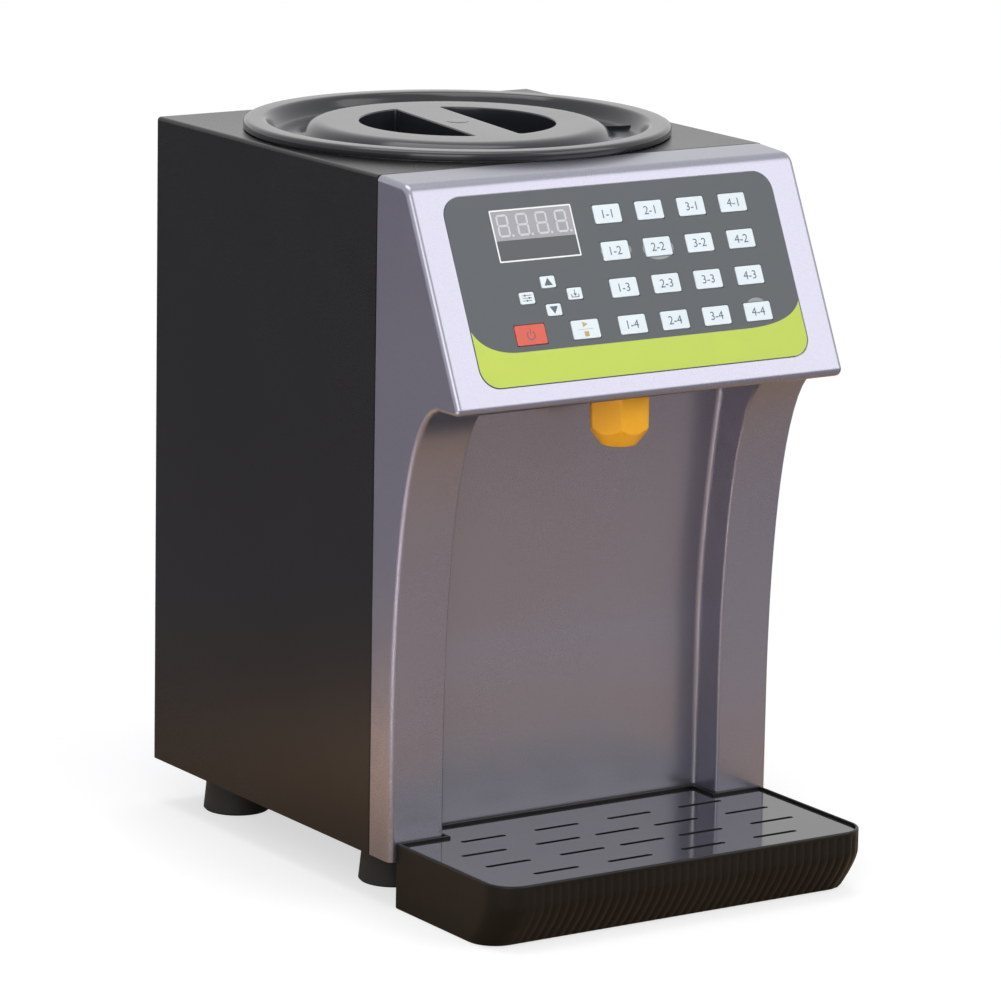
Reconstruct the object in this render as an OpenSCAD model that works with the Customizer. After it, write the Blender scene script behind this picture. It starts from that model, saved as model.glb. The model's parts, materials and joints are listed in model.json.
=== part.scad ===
// Countertop syrup dispenser: a sheet-metal casing with a hanging tank, a gear pump,
// a moulded fascia with a sloped keypad head over a cup bay, and a drip tray.
// Frame: +Z up, front towards -Y, origin on the floor below the middle of the overall box.
// Inside at_seam(), y = 0 is the seam between casing and fascia; on_face() lies on the sloped face.

/* [Casing] */
// Width of the sheet-metal casing
casing_w = 260; // [250:1:290]
// Depth of the casing from the fascia seam to its back
casing_d = 244; // [240:1:280]
// Height of the casing sides
casing_h = 387; // [370:1:430]
// Thickness of the sheet metal
sheet_t = 1.2; // [0.8:0.1:2]
// Width of the folded returns that take the screws
return_w = 14; // [12:1:18]
// Visible gap between casing and fascia
seam_gap = 0.6; // [0.3:0.1:1]
// Clearance between pieces that are fitted together
fit = 0.3; // [0.2:0.05:0.4]

/* [Feet] */
// Height of the rubber feet
foot_h = 27; // [15:1:40]
// Radius of a foot where it meets the floor
foot_r = 20; // [14:0.5:24]
// Radius of a foot where it meets the base plate
foot_top_r = 17; // [12:0.5:22]
// Distance of the foot centres from the middle
foot_x = 94; // [80:1:100]
// Distance of the front foot centres behind the seam
foot_front_y = 31; // [26:1:50]
// Distance between front and rear foot centres
foot_span = 175; // [120:1:180]

/* [Fascia head] */
// Height of the head from the casing top to its underside
head_h = 122; // [116:1:140]
// Slope of the keypad face from the vertical
face_angle = 25.5; // [18:0.5:30]
// Reach of the head's top in front of the seam
top_reach = 29; // [24:1:40]
// Fall of the head's top towards the front
top_drop = 1.5; // [0:0.5:4]
// Rounding where the top turns into the face
face_round = 9; // [4:0.5:14]
// Rounding of the lower lip
lip_round = 4; // [2:0.5:6]
// Wall of the moulded fascia
wall = 3; // [2:0.25:4]

/* [Fascia columns] */
// Width of each column
col_w = 36; // [30:1:44]
// Reach of the columns in front of the seam
col_reach = 21.5; // [18:0.5:30]
// Reach of the columns where they meet the head
arch_reach = 64; // [55:1:68]
// Height over which the columns sweep forward
arch_h = 191; // [150:1:210]
// Thickness of the panel at the back of the cup bay
panel_t = 2.5; // [2:0.25:4]
// Overlap of the panel behind the columns
panel_lap = 10; // [9.5:0.5:13]
// Reach of the panel's top in front of the seam
panel_sweep = 19; // [12:0.5:24]
// Height over which the panel sweeps forward
panel_sweep_h = 152; // [110:1:170]

/* [Keypad] */
// Width of the printed label
label_w = 221; // [212:1:228]
// Height of the printed label
label_h = 109.5; // [108:0.5:114]
// Distance of the label below the head's top corner
label_top = 9.1; // [7:0.1:11]
// Corner radius of the label
label_r = 12; // [4:0.5:16]
// Thickness of the label
label_t = 0.8; // [0.5:0.1:1.2]
// Width of a dose key
key_w = 18; // [14:0.5:22]
// Height of a dose key
key_h = 10.8; // [8:0.2:14]
// Sideways pitch of the dose keys
key_pitch_x = 28.5; // [24:0.5:30]
// Pitch of the dose keys down the slope
key_pitch_y = 21.4; // [18:0.2:23]
// Sideways place of the first dose key
key_x0 = -4.5; // [-7:0.5:0]
// Distance of the first dose key row below the head's top corner
key_y0 = 26.1; // [24:0.1:30]
// Width of the setting keys
set_w = 9.6; // [8:0.2:11]
// Height of the setting keys
set_h = 6.8; // [5:0.2:8]
// Sideways place of the arrow keys
arrow_x = -53.6; // [-56:0.2:-51]
// Sideways offset of the two setting keys from the arrow keys
set_dx = 15.8; // [13:0.2:17]
// Half the distance between the two arrow keys
arrow_dy = 8; // [6:0.2:9]
// Width of the power key
power_w = 19.8; // [16:0.2:21]
// Height of the power key
power_h = 11.5; // [9:0.2:13]
// Sideways place of the power key
power_x = -72.3; // [-76:0.1:-70]
// Sideways place of the run and stop key
run_x = -36; // [-37:0.2:-34]
// Travel of every key
key_travel = 0.4; // [0.2:0.1:0.6]
// Height of a key's face above the label
key_proud = 0.3; // [0.2:0.1:0.6]

/* [Display] */
// Width of the display window
disp_w = 53.3; // [48:0.1:56]
// Height of the display window
disp_h = 29.3; // [24:0.1:31]
// Sideways place of the display window
disp_x = -54.4; // [-57:0.1:-51]
// Distance of the window's middle below the head's top corner
disp_y = 33.5; // [31:0.1:36]

/* [Tank and lid] */
// Distance of the tank's axis behind the seam
tank_y = 121; // [118:0.5:128]
// Outer radius of the tank body
tank_r = 104; // [90:1:108]
// Inner radius of the tank's mouth
mouth_r = 113.5; // [111:0.5:115]
// Outer radius of the tank's flange
flange_r = 120.5; // [119:0.5:121]
// Height of the tank's floor above the pump
tank_gap = 52.6; // [46:0.2:60]
// Thickness of the tank's steel
tank_t = 1; // [0.8:0.1:1.5]
// Outer radius of the lid
lid_r = 124; // [123.6:0.1:125]
// Height of the lid's rim above the casing
lid_rise = 6; // [5:0.5:9]
// Radius where the dish starts inside the rim
dish_r = 111; // [108:0.5:112]
// Radius of the raised disc
disc_r = 84; // [76:1:88]
// Depth of the dish below the rim
dish_depth = 9; // [6:0.5:12]
// Wall of the lid
lid_t = 2.4; // [1.8:0.2:3]
// Radius of the finger pockets
pocket_r = 57; // [48:1:64]
// Depth of the finger pockets
pocket_depth = 17; // [12:0.5:22]
// Width of the grip bar between the pockets
grip_w = 28; // [20:1:36]
// Turn of the grip bar from the front-to-back line
grip_turn = 8; // [0:1:30]
// Thickness of the seal under the tank's flange
seal_t = 1; // [0.6:0.1:1.5]
// Height of the heating band around the tank
heater_h = 40; // [30:1:50]
// Thickness of the heating band
heater_t = 2; // [1:0.25:4]
// Height of the heating band above the tank's floor
heater_lift = 10; // [4:1:20]

/* [Pump] */
// Height of the pump's gear axes
pump_z = 100; // [90:1:110]
// Gear module
gear_m = 1.5; // [1.2:0.1:1.6]
// Teeth on each gear
gear_teeth = 16; // [14:1:18]
// Width of the gears
gear_w = 16; // [10:1:20]
// Radius of the gear shafts
shaft_r = 3; // [2:0.25:4]
// Radial running clearance of the shafts
shaft_fit = 0.05; // [0.03:0.01:0.08]
// Wall of the pump body around the gears
pump_wall = 8; // [7:0.5:12]
// Thickness of the pump cover
cover_t = 6; // [5:0.5:10]
// Radius of the motor
motor_r = 25; // [20:1:30]
// Length of the motor
motor_len = 78; // [50:1:90]
// Outer radius of the hoses
hose_r = 6.5; // [6:0.25:7.5]
// Bore radius of the hoses
hose_bore = 5.05; // [4.5:0.05:5.4]
// Sideways place of the rising hose
hose_x = 54; // [48:1:60]

/* [Nozzle] */
// Distance of the nozzle in front of the seam
nozzle_y = 50; // [45:1:54]
// Size of the nozzle nut across its flats
nozzle_af = 32; // [28:1:44]
// Height of the nozzle below the head
nozzle_h = 32.4; // [25:0.2:40]
// Radius of the nozzle's flat end
nozzle_end_r = 10; // [7:0.5:14]
// Height of the nozzle's slanted end
nozzle_slant = 9.5; // [6:0.5:12]

/* [Drip tray] */
// Width of the drip tray
tray_w = 251; // [240:1:258]
// Reach of the tray in front of the seam
tray_reach = 129.5; // [115:0.5:140]
// Height of the tray
tray_h = 38; // [32:1:46]
// Corner radius of the tray
tray_r = 17; // [8:1:24]
// Undercut of the tray's front at the floor
tray_under = 16; // [8:1:20]
// Height of the tray's upright front band
tray_band = 13; // [8:1:18]
// Wall of the tray
tray_wall = 2.5; // [2:0.25:4]
// Thickness of the slotted plate
grid_t = 3; // [2:0.25:4]
// Depth of the plate below the tray's edge
grid_drop = 1.5; // [0.5:0.25:3]
// Length of a drain slot
slot_len = 30; // [20:1:36]
// Width of a drain slot
slot_w = 3.4; // [2:0.2:5]
// Sideways pitch of the slots
slot_pitch_x = 49.6; // [46:0.2:50]
// Distance between slot rows
slot_pitch_y = 24.6; // [20:0.2:26]
// Distance of the first slot row in front of the seam
slot_y0 = 33; // [30:0.5:36]

/* [Electrical] */
// Width of the mains inlet's face
inlet_w = 31; // [29:0.5:34]
// Height of the mains inlet's face
inlet_h = 25; // [23:0.5:28]
// Width of the power switch's face
switch_w = 24; // [22:0.5:26]
// Height of the power switch's face
switch_h = 30; // [27:0.5:32]
// Sideways place of inlet and switch
mains_x = -80; // [-95:1:-60]
// Height of the inlet's middle
inlet_z = 66; // [60:1:72]
// Height of the switch's middle
switch_z = 108; // [100:1:120]
// Swing of the rocker
rocker_swing = 20; // [12:1:24]
// Height of the electrics above the base sheet
standoff_h = 9; // [5:0.5:12]
// Width of the mains supply
supply_w = 64; // [54:1:70]
// Depth of the mains supply
supply_d = 104; // [90:1:110]
// Height of the mains supply
supply_h = 40; // [30:1:50]
// Gap between the mains supply and the casing's side
supply_gap = 8; // [4:0.5:12]
// Gap between the mains supply and the casing's back
supply_back = 15; // [8:0.5:24]
// Width of the driver board
driver_w = 60; // [54:1:64]
// Depth of the driver board
driver_d = 130; // [110:1:140]
// Gap between the driver board and the casing's side
driver_gap = 14; // [8:0.5:18]
// Distance of the driver board behind the seam
driver_front = 26; // [20:1:34]
// Width of the flat cable
ribbon_w = 18; // [12:1:19]

/* [Hidden] */
$fn = 96;
e = 0.01;

key_cols = 4;
key_rows = 4;
screw_head_h = 1.6;
m3_r = 1.5;
m4_r = 2;
head_ratio = 1.8;
z_base = foot_h;
z_top = foot_h + casing_h;
z_head = z_top - head_h;
rocker_r = (switch_h - 9) / 2 - 0.4;
rocker_corner = 42;
rocker_depth = 5.6;
rocker_proud = rocker_r * cos(rocker_corner - rocker_swing / 2) - rocker_depth;
y_back = max(casing_d + rocker_proud, tank_y + lid_r);
y_mid = (y_back - tray_reach) / 2;
half_w = casing_w / 2;
in_w = half_w - sheet_t;
col_in = half_w - col_w;
foot_y = [foot_front_y, foot_front_y + foot_span];
face_slope = tan(face_angle);
panel_h = casing_h - head_h + 12;
sweep_steps = 16;
panel_boss_x = col_in + wall + 2.5;
arrow_row = key_y0 + 2 * key_pitch_y + 0.7;
last_row = key_y0 + (key_rows - 1) * key_pitch_y;
board_gap = 0.2;
board_t = 1.6;
board_inset = 6;
board_screw_inset = 5;
board_w = label_w - 2 * board_inset;
board_h = label_h - 2 * board_inset;
plug_h = 6;
board_top = label_t + wall + board_gap;
board_screw_len = board_t + board_gap + wall - 1;
face_mid = label_top + label_h / 2;
dome_t = 0.25;
press_gap = 0.35;
key_depth = board_top - dome_t - key_travel - press_gap;
flange_z = z_top + seal_t;
neck_h = 15;
neck_z = flange_z - neck_h;
lid_top = z_top + lid_rise;
dish_z = lid_top - dish_depth;
disc_z = lid_top - 1;
pitch_r = gear_m * gear_teeth / 2;
gear_x = [-pitch_r, pitch_r];
tip_r = pitch_r + 0.9 * gear_m;
chamber_r = tip_r + 0.15;
chamber_d = gear_w + 2 * 0.25;
pump_front = tank_y - 13;
pump_d = chamber_d + pump_wall;
pump_back = pump_front + pump_d;
pump_hx = pitch_r + tip_r + pump_wall;
pump_hz = tip_r + pump_wall + 1;
pump_top = pump_z + pump_hz;
pump_bottom = pump_z - pump_hz;
tank_floor = pump_top + tank_gap;
gear_backlash = 0.12;
base_r = pitch_r * cos(20);
root_r = pitch_r - 1.15 * gear_m;
flank_steps = 4;
bracket_t = 3;
motor_front = pump_back + bracket_t;
barb_r = 5;
barb_len = 14;
hose_low_z = z_base + 15;
hose_top_z = z_head + 34;
hose_y = 12;
tube_bend = 16;
grid_z = tray_h - grid_drop;
tray_back = col_reach + 0.4;
tongue_hw = col_in - 1.5;
tongue_back = 1;
base_front = max(panel_t, seam_gap + sheet_t) + fit;
clamp_screw_x = half_w - sheet_t - return_w / 2;
panel_screw_z = [z_base + 20, (z_base + z_top) / 2, z_top - 20];
bay_screw_z = [z_base + 40, z_base + panel_h / 2, z_base + panel_h - 40];

// ---------- frames and helpers ----------

module at_seam() {
  translate([0, -y_mid, 0]) children();
}

// Origin at the head's top front corner, X right, Y up the slope, Z out of the face
module on_face() {
  at_seam()
    translate([0, -top_reach, z_top - top_drop])
      rotate([90 - face_angle, 0, 0])
        children();
}

// Extrudes a [y, z] outline over a width centred on x
module across(width, x = 0) {
  translate([x - width / 2, 0, 0])
    rotate([90, 0, 90])
      linear_extrude(width) children();
}

module both_sides() {
  children();
  mirror([1, 0, 0]) children();
}

module rounded_rect(w, h, r) {
  union() {
    square([w - 2 * r, h], center = true);
    square([w, h - 2 * r], center = true);
    for (sx = [-1, 1], sy = [-1, 1])
      translate([sx * (w / 2 - r), sy * (h / 2 - r)]) circle(r, $fn = 48);
  }
}

module rounded_plate(w, h, r, t) {
  linear_extrude(t) rounded_rect(w, h, r);
}

// Screw pointing down -Z from the underside of its head at the origin
module screw(r, len) {
  cylinder(r = head_ratio * r, h = screw_head_h);
  translate([0, 0, -len]) cylinder(r = r - 0.05, h = len + e);
}

function arc(cy, cz, r, a0, a1, n = 8) =
  [for (i = [0:n]) let (a = a0 + (a1 - a0) * i / n) [cy + r * cos(a), cz + r * sin(a)]];

function bezier(p, n) =
  [for (i = [0:n]) let (t = i / n, s = 1 - t)
    s * s * s * p[0] + 3 * t * s * s * p[1] + 3 * t * t * s * p[2] + t * t * t * p[3]];

// Path with each inner corner replaced by a curve that starts and ends d from it
function rounded_path(p, d, n = 6) = concat(
  [p[0]],
  [for (i = [1:len(p) - 2]) let (
      a = p[i] + d * unit(p[i - 1] - p[i]),
      b = p[i] + d * unit(p[i + 1] - p[i]))
    for (k = [0:n]) let (t = k / n, s = 1 - t) s * s * a + 2 * s * t * p[i] + t * t * b],
  [p[len(p) - 1]]);

function unit(v) = v / norm(v);

function tangents(p) = [for (i = [0:len(p) - 1])
  unit(p[min(i + 1, len(p) - 1)] - p[max(i - 1, 0)])];

// Sideways vectors that turn with the path and never twist
function normals(t, i, n) = i == len(t) ? [] :
  let (m = unit(n - (n * t[i]) * t[i])) concat([m], normals(t, i + 1, m));

// Hose along a path, with its bore
module hose(path, ro, ri, start_normal = [1, 0, 0], sides = 10) {
  t = tangents(path);
  m = normals(t, 0, start_normal);
  count = len(path);
  function ring(r) = [for (i = [0:count - 1]) let (b = cross(t[i], m[i]))
    for (k = [0:sides - 1]) path[i] + r * (cos(360 * k / sides) * m[i] + sin(360 * k / sides) * b)];
  inner = count * sides;
  last = (count - 1) * sides;
  polyhedron(
    concat(ring(ro), ring(ri / cos(180 / sides))),
    concat(
      [for (i = [0:count - 2], k = [0:sides - 1]) let (a = i * sides + k, b = i * sides + (k + 1) % sides)
        each [[a, b, b + sides], [a, b + sides, a + sides]]],
      [for (i = [0:count - 2], k = [0:sides - 1])
        let (a = inner + i * sides + k, b = inner + i * sides + (k + 1) % sides)
        each [[a, b + sides, b], [a, a + sides, b + sides]]],
      [for (k = [0:sides - 1]) let (a = k, b = (k + 1) % sides)
        each [[a, inner + a, inner + b], [a, inner + b, b],
              [last + a, inner + last + b, inner + last + a], [last + a, last + b, inner + last + b]]]));
}

// ---------- casing ----------

module top_opening() {
  translate([0, tank_y, z_top - sheet_t - 1]) cylinder(r = mouth_r + 2.5, h = sheet_t + 2);
}

module casing_shell() color([0.11, 0.11, 0.12]) at_seam() difference() {
  union() {
    difference() {
      translate([-half_w, seam_gap, z_base]) cube([casing_w, casing_d - seam_gap, casing_h]);
      translate([-in_w, 0, z_base - 1]) cube([2 * in_w, casing_d + 1, casing_h + 1 - sheet_t]);
    }
    both_sides() {
      translate([in_w - return_w, seam_gap, z_base]) cube([return_w + e, sheet_t, casing_h - e]);
      translate([in_w - return_w, casing_d - 2 * sheet_t - fit, z_base])
        cube([return_w + e, sheet_t, casing_h - e]);
    }
  }
  top_opening();
  rear_screw_places() cylinder(r = m4_r + fit, h = 3 * sheet_t + 2, center = true);
  front_screw_places() cylinder(r = m4_r + fit, h = 3 * sheet_t + 2, center = true);
}

// Rear panel screws, driven towards the front
module rear_screw_places() {
  both_sides()
    for (z = panel_screw_z)
      translate([clamp_screw_x, casing_d, z]) rotate([-90, 0, 0]) children();
}

// Fascia screws, driven from inside the casing through its front returns
module front_screw_places() {
  both_sides()
    for (z = panel_screw_z)
      translate([clamp_screw_x, seam_gap + sheet_t, z]) rotate([-90, 0, 0]) children();
}

module rear_panel() color([0.13, 0.13, 0.14]) at_seam() difference() {
  translate([-in_w + fit, casing_d - sheet_t, z_base + fit])
    cube([2 * (in_w - fit), sheet_t, casing_h - sheet_t - 2 * fit]);
  rear_screw_places() cylinder(r = m4_r + fit, h = 3 * sheet_t, center = true);
  for (i = [0:9], sx = [-1, 1])
    translate([sx * 45, casing_d, z_base + casing_h * 0.55 + i * 11])
      rotate([90, 0, 0]) translate([0, 0, -1]) rounded_plate(60, 4, 1.9, sheet_t + 2);
  translate([mains_x - inlet_w / 2 + 2, casing_d - 5, inlet_z - inlet_h / 2 + 2])
    cube([inlet_w - 4, 10, inlet_h - 4]);
  translate([mains_x - switch_w / 2 + 2, casing_d - 5, switch_z - switch_h / 2 + 2])
    cube([switch_w - 4, 10, switch_h - 4]);
}

module base_plate() color([0.13, 0.13, 0.14]) at_seam() difference() {
  union() {
    translate([-in_w + fit, base_front, z_base])
      cube([2 * (in_w - fit), casing_d - 3 * sheet_t - 2 * fit - base_front, sheet_t]);
    both_sides() translate([in_w - fit - sheet_t, seam_gap + return_w, z_base])
      cube([sheet_t, casing_d - 2 * return_w - 6, return_w]);
  }
  foot_places() translate([0, 0, z_base - 1]) cylinder(r = m4_r + fit, h = sheet_t + 2);
  for (i = [0:5]) translate([-20 + i * 12, tank_y - 62, z_base - 1])
    linear_extrude(sheet_t + 2) rotate(90) rounded_rect(40, 4, 1.9);
}

module foot_places() {
  for (sx = [-1, 1], y = foot_y) translate([sx * foot_x, y, 0]) children();
}

module feet() color([0.1, 0.1, 0.1]) at_seam() foot_places() difference() {
  rotate_extrude() polygon([
    [0, 0], [foot_r - 1, 0], [foot_r, 1], [foot_top_r + 0.6, foot_h - 2], [foot_top_r, foot_h], [0, foot_h]]);
  translate([0, 0, -1]) cylinder(r = head_ratio * m4_r + 2, h = foot_h - 7);
  cylinder(r = m4_r + fit, h = foot_h + 1);
}

module m4_screws() color([0.75, 0.75, 0.76]) at_seam() {
  rear_screw_places() screw(m4_r, 8);
  front_screw_places() screw(m4_r, 8);
  foot_places() {
    translate([0, 0, foot_h - 8]) rotate([180, 0, 0]) screw(m4_r, 16);
    translate([0, 0, z_base + sheet_t]) difference() {
      cylinder(r = 4, h = 3.2, $fn = 6);
      translate([0, 0, -1]) cylinder(r = m4_r, h = 6);
    }
  }
}

// ---------- fascia ----------

// y of the sloped face at height z, moved inwards by w
function face_y(z, w) = -top_reach - face_slope * (z_top - top_drop - z) + w / cos(face_angle);

// Curve of the columns' front from the foot up to the head, moved inwards by w
function column_curve(w, n = 20) = bezier([
  [-col_reach + w, z_head - arch_h],
  [-col_reach + w, z_head - arch_h * 0.82],
  [-col_reach - 2.4 + w, z_head - 7],
  [-arch_reach + w, z_head]], n);

// Side outline of head and column; ends at y = rear
function fascia_outline(w, rear) = let (
    top_z = z_top - top_drop - w,
    round_r = face_round - w,
    low_z = z_head + w,
    lip_r = max(lip_round - w, 0.5),
    lip_c = [face_y(low_z + lip_r, w) + lip_r / cos(face_angle), low_z + lip_r])
  concat(
    [[rear, z_top - w]],
    arc(face_y(top_z - round_r, w) + round_r / cos(face_angle), top_z - round_r, round_r, 90, 180 - face_angle),
    arc(lip_c[0], lip_c[1], lip_r, 180 - face_angle, 270),
    [[-arch_reach + w - 3, low_z]]);

module head_outline(w, rear) polygon(concat(fascia_outline(w, rear), [[rear, z_head + w]]));

module column_outline(w, rear, low) polygon(concat(
  [[rear, low], [-col_reach + w, low]], column_curve(w), [[-arch_reach + w, z_head + w + e], [rear, z_head + w + e]]));

module key_cutouts(clear, depth) {
  for (c = [0:key_cols - 1], r = [0:key_rows - 1]) at_key(c, r) key_cut(key_w, key_h, clear, depth);
  at_spot(arrow_x, arrow_row - arrow_dy) key_cut(set_w, set_h, clear, depth);
  at_spot(arrow_x, arrow_row + arrow_dy) key_cut(set_w, set_h, clear, depth);
  at_spot(arrow_x - set_dx, arrow_row) key_cut(set_w, set_h, clear, depth);
  at_spot(arrow_x + set_dx, arrow_row) key_cut(set_w, set_h, clear, depth);
  at_spot(run_x, last_row) key_cut(key_w, key_h, clear, depth);
  at_spot(power_x, last_row) key_cut(power_w, power_h, clear, depth);
  at_spot(disp_x, disp_y) key_cut(disp_w, disp_h, clear, depth);
}

module key_cut(w, h, clear, depth) {
  translate([-w / 2 - clear, -h / 2 - clear, -depth]) cube([w + 2 * clear, h + 2 * clear, depth + 1]);
}

module fascia_bosses() {
  both_sides() {
    for (z = panel_screw_z) translate([clamp_screw_x, 0, z]) rotate([90, 0, 0]) cylinder(r = 5.5, h = 10);
    for (z = bay_screw_z) translate([panel_boss_x, 0, z]) rotate([90, 0, 0]) cylinder(r = 4, h = 10);
  }
}

module front_fascia() color([0.72, 0.72, 0.8]) difference() {
  at_seam() difference() {
    union() {
      difference() {
        union() {
          across(casing_w) head_outline(0, 0);
          both_sides() across(col_w, half_w - col_w / 2) column_outline(0, 0, z_base);
        }
        across(casing_w - 2 * wall) head_outline(wall, 1);
        both_sides() across(col_w - 2 * wall, half_w - col_w / 2) {
          column_outline(wall, 1, z_base - 1);
          translate([-col_reach, z_head - 20]) square([col_reach + 1, 40]);
        }
      }
      fascia_bosses();
    }
    front_screw_places() cylinder(r = m4_r, h = 18, center = true);
    bay_screw_places() cylinder(r = m3_r, h = 22, center = true);
    translate([0, -nozzle_y, z_head - 1]) cylinder(r = 8 + fit, h = wall + 2);
  }
  on_face() {
    translate([0, -face_mid, -label_t]) rounded_plate(label_w + 2 * fit, label_h + 2 * fit, label_r, 5);
    key_cutouts(0.4, 12);
    board_screw_places() translate([0, 0, -board_screw_len - 0.4]) cylinder(r = m3_r, h = board_screw_len);
  }
}

// Point i of the panel's swept front, moved back by w
function panel_point(i, w) = let (t = i / sweep_steps)
  [w - panel_sweep * pow(t, 1.6), z_head - fit - panel_sweep_h * (1 - t)];

function panel_curve(w) = [for (i = [0:sweep_steps]) panel_point(i, w)];

// Flat at the screws and below, pressed forward under the head between the columns
module bay_panel() color([0.5, 0.49, 0.55]) at_seam() {
  low = z_head - fit - panel_sweep_h;
  hw = col_in - fit;
  difference() {
    translate([-col_in - panel_lap, 0, z_base]) cube([2 * (col_in + panel_lap), panel_t, panel_h]);
    bay_screw_places() cylinder(r = m3_r + 0.2, h = 3 * panel_t, center = true);
    translate([-hw + panel_t, -1, low]) cube([2 * (hw - panel_t), panel_t + 2, panel_sweep_h]);
  }
  across(2 * hw) polygon(concat([[0, low - 1]], panel_curve(0),
    [for (i = [sweep_steps:-1:0]) panel_point(i, panel_t)], [[panel_t, low - 1]]));
  both_sides() across(panel_t, hw - panel_t / 2)
    polygon(concat([[0, low - 1]], panel_curve(0), [[panel_t, z_head - fit], [panel_t, low - 1]]));
}

module bay_screw_places() {
  both_sides() for (z = bay_screw_z)
    translate([panel_boss_x, panel_t, z]) rotate([-90, 0, 0]) children();
}

// ---------- keypad ----------

module at_spot(x, down) {
  translate([x, -down, 0]) children();
}

module at_key(c, r) {
  at_spot(key_x0 + c * key_pitch_x, key_y0 + r * key_pitch_y) children();
}

module key_cap(w, h) {
  translate([0, 0, -key_depth]) rounded_plate(w, h, 1, key_depth + key_proud);
}

module dose_key(c, r) color([0.93, 0.95, 0.97]) on_face() at_key(c, r) key_cap(key_w, key_h);
module key_up() color([0.93, 0.95, 0.97]) on_face() at_spot(arrow_x, arrow_row - arrow_dy) key_cap(set_w, set_h);
module key_down() color([0.93, 0.95, 0.97]) on_face() at_spot(arrow_x, arrow_row + arrow_dy) key_cap(set_w, set_h);
module key_set() color([0.93, 0.95, 0.97]) on_face() at_spot(arrow_x - set_dx, arrow_row) key_cap(set_w, set_h);
module key_save() color([0.93, 0.95, 0.97]) on_face() at_spot(arrow_x + set_dx, arrow_row) key_cap(set_w, set_h);
module key_run() color([0.93, 0.95, 0.97]) on_face() at_spot(run_x, last_row) key_cap(key_w, key_h);
module key_power() color([0.9, 0.33, 0.3]) on_face() at_spot(power_x, last_row) key_cap(power_w, power_h);

module control_label() color([0.4, 0.41, 0.43]) on_face() difference() {
  translate([0, -face_mid, -label_t]) rounded_plate(label_w, label_h, label_r, label_t);
  key_cutouts(0.3, label_t + 1);
}

module display_window() color([0.1, 0.1, 0.12, 0.8]) on_face() at_spot(disp_x, disp_y)
  translate([0, 0, -label_t]) rounded_plate(disp_w, disp_h, 0.5, label_t);

module display_module() color([0.15, 0.15, 0.15]) on_face() at_spot(disp_x, disp_y - 5)
  translate([0, 0, -board_top]) rounded_plate(disp_w - 3, disp_h - 13, 0.5, board_top - label_t - fit);

module board_screw_places() {
  for (sx = [-1, 1], sy = [-1, 1])
    translate([sx * (board_w / 2 - board_screw_inset), -face_mid + sy * (board_h / 2 - board_screw_inset),
      -board_top - board_t])
      rotate([180, 0, 0]) children();
}

module control_board() color([0.1, 0.35, 0.2]) on_face() difference() {
  union() {
    translate([0, -face_mid, -board_top - board_t]) rounded_plate(board_w, board_h, 2, board_t);
    translate([ribbon_x - plug_side, -face_mid - 20, -board_top - board_t - plug_h])
      cube([ribbon_w + 2 * plug_side, 6, plug_h + e]);
  }
  board_screw_places() cylinder(r = m3_r + 0.2, h = 3 * board_t, center = true);
}

module snap_domes() color([0.8, 0.8, 0.82]) on_face() {
  for (c = [0:key_cols - 1], r = [0:key_rows - 1]) at_key(c, r) dome();
  at_spot(arrow_x, arrow_row - arrow_dy) dome();
  at_spot(arrow_x, arrow_row + arrow_dy) dome();
  at_spot(arrow_x - set_dx, arrow_row) dome();
  at_spot(arrow_x + set_dx, arrow_row) dome();
  at_spot(run_x, last_row) dome();
  at_spot(power_x, last_row) dome();
}

module dome() {
  translate([0, 0, -board_top]) cylinder(r = 3, h = dome_t, $fn = 24);
}

// ---------- tank and lid ----------

module syrup_tank() color([0.78, 0.78, 0.8]) at_seam() translate([0, tank_y, 0]) difference() {
  rotate_extrude($fn = 128) polygon([
    [0, tank_floor], [tank_r, tank_floor], [tank_r, neck_z], [mouth_r + tank_t, flange_z],
    [flange_r, flange_z], [flange_r, flange_z + tank_t], [mouth_r, flange_z + tank_t],
    [mouth_r, flange_z], [tank_r - tank_t, neck_z], [tank_r - tank_t, tank_floor + tank_t],
    [0, tank_floor + tank_t]]);
  translate([0, 0, tank_floor - 1]) cylinder(r = 7, h = tank_t + 2);
}

module tank_seal() color([0.85, 0.85, 0.85]) at_seam() translate([0, tank_y, z_top])
  difference() {
    cylinder(r = flange_r, h = seal_t, $fn = 128);
    translate([0, 0, -1]) cylinder(r = mouth_r + 3, h = seal_t + 2, $fn = 128);
  }

module pocket_shape(grow) {
  reach = pocket_r + grow;
  rotate(-grip_turn) difference() {
    circle(reach);
    square([grip_w - 2 * grow, 2 * reach + 1], center = true);
  }
}

module lid() color([0.12, 0.12, 0.13]) at_seam() translate([0, tank_y, 0]) difference() {
  union() {
    difference() {
      rotate_extrude($fn = 128) polygon(concat(
        [[0, disc_z], [disc_r, disc_z], [disc_r + 6, dish_z], [dish_r - 6, dish_z], [dish_r, lid_top - 0.6],
         [dish_r + 1.5, lid_top]],
        arc(lid_r - 2, lid_top - 2, 2, 90, 0),
        [[lid_r, z_top + 0.5], [lid_r - 2, z_top + 0.5], [lid_r - 2, flange_z + tank_t + fit],
         [mouth_r - 1, flange_z + tank_t + fit], [mouth_r - 1, lid_top - lid_t - 1],
         [dish_r - 5 + lid_t, dish_z - lid_t], [disc_r + 6 - lid_t, dish_z - lid_t],
         [disc_r - lid_t, disc_z - lid_t], [0, disc_z - lid_t]]));
    }
    translate([0, 0, disc_z - pocket_depth - lid_t]) linear_extrude(pocket_depth + lid_t / 2) pocket_shape(lid_t);
  }
  translate([0, 0, disc_z - pocket_depth]) linear_extrude(pocket_depth + 5) pocket_shape(0);
}

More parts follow.
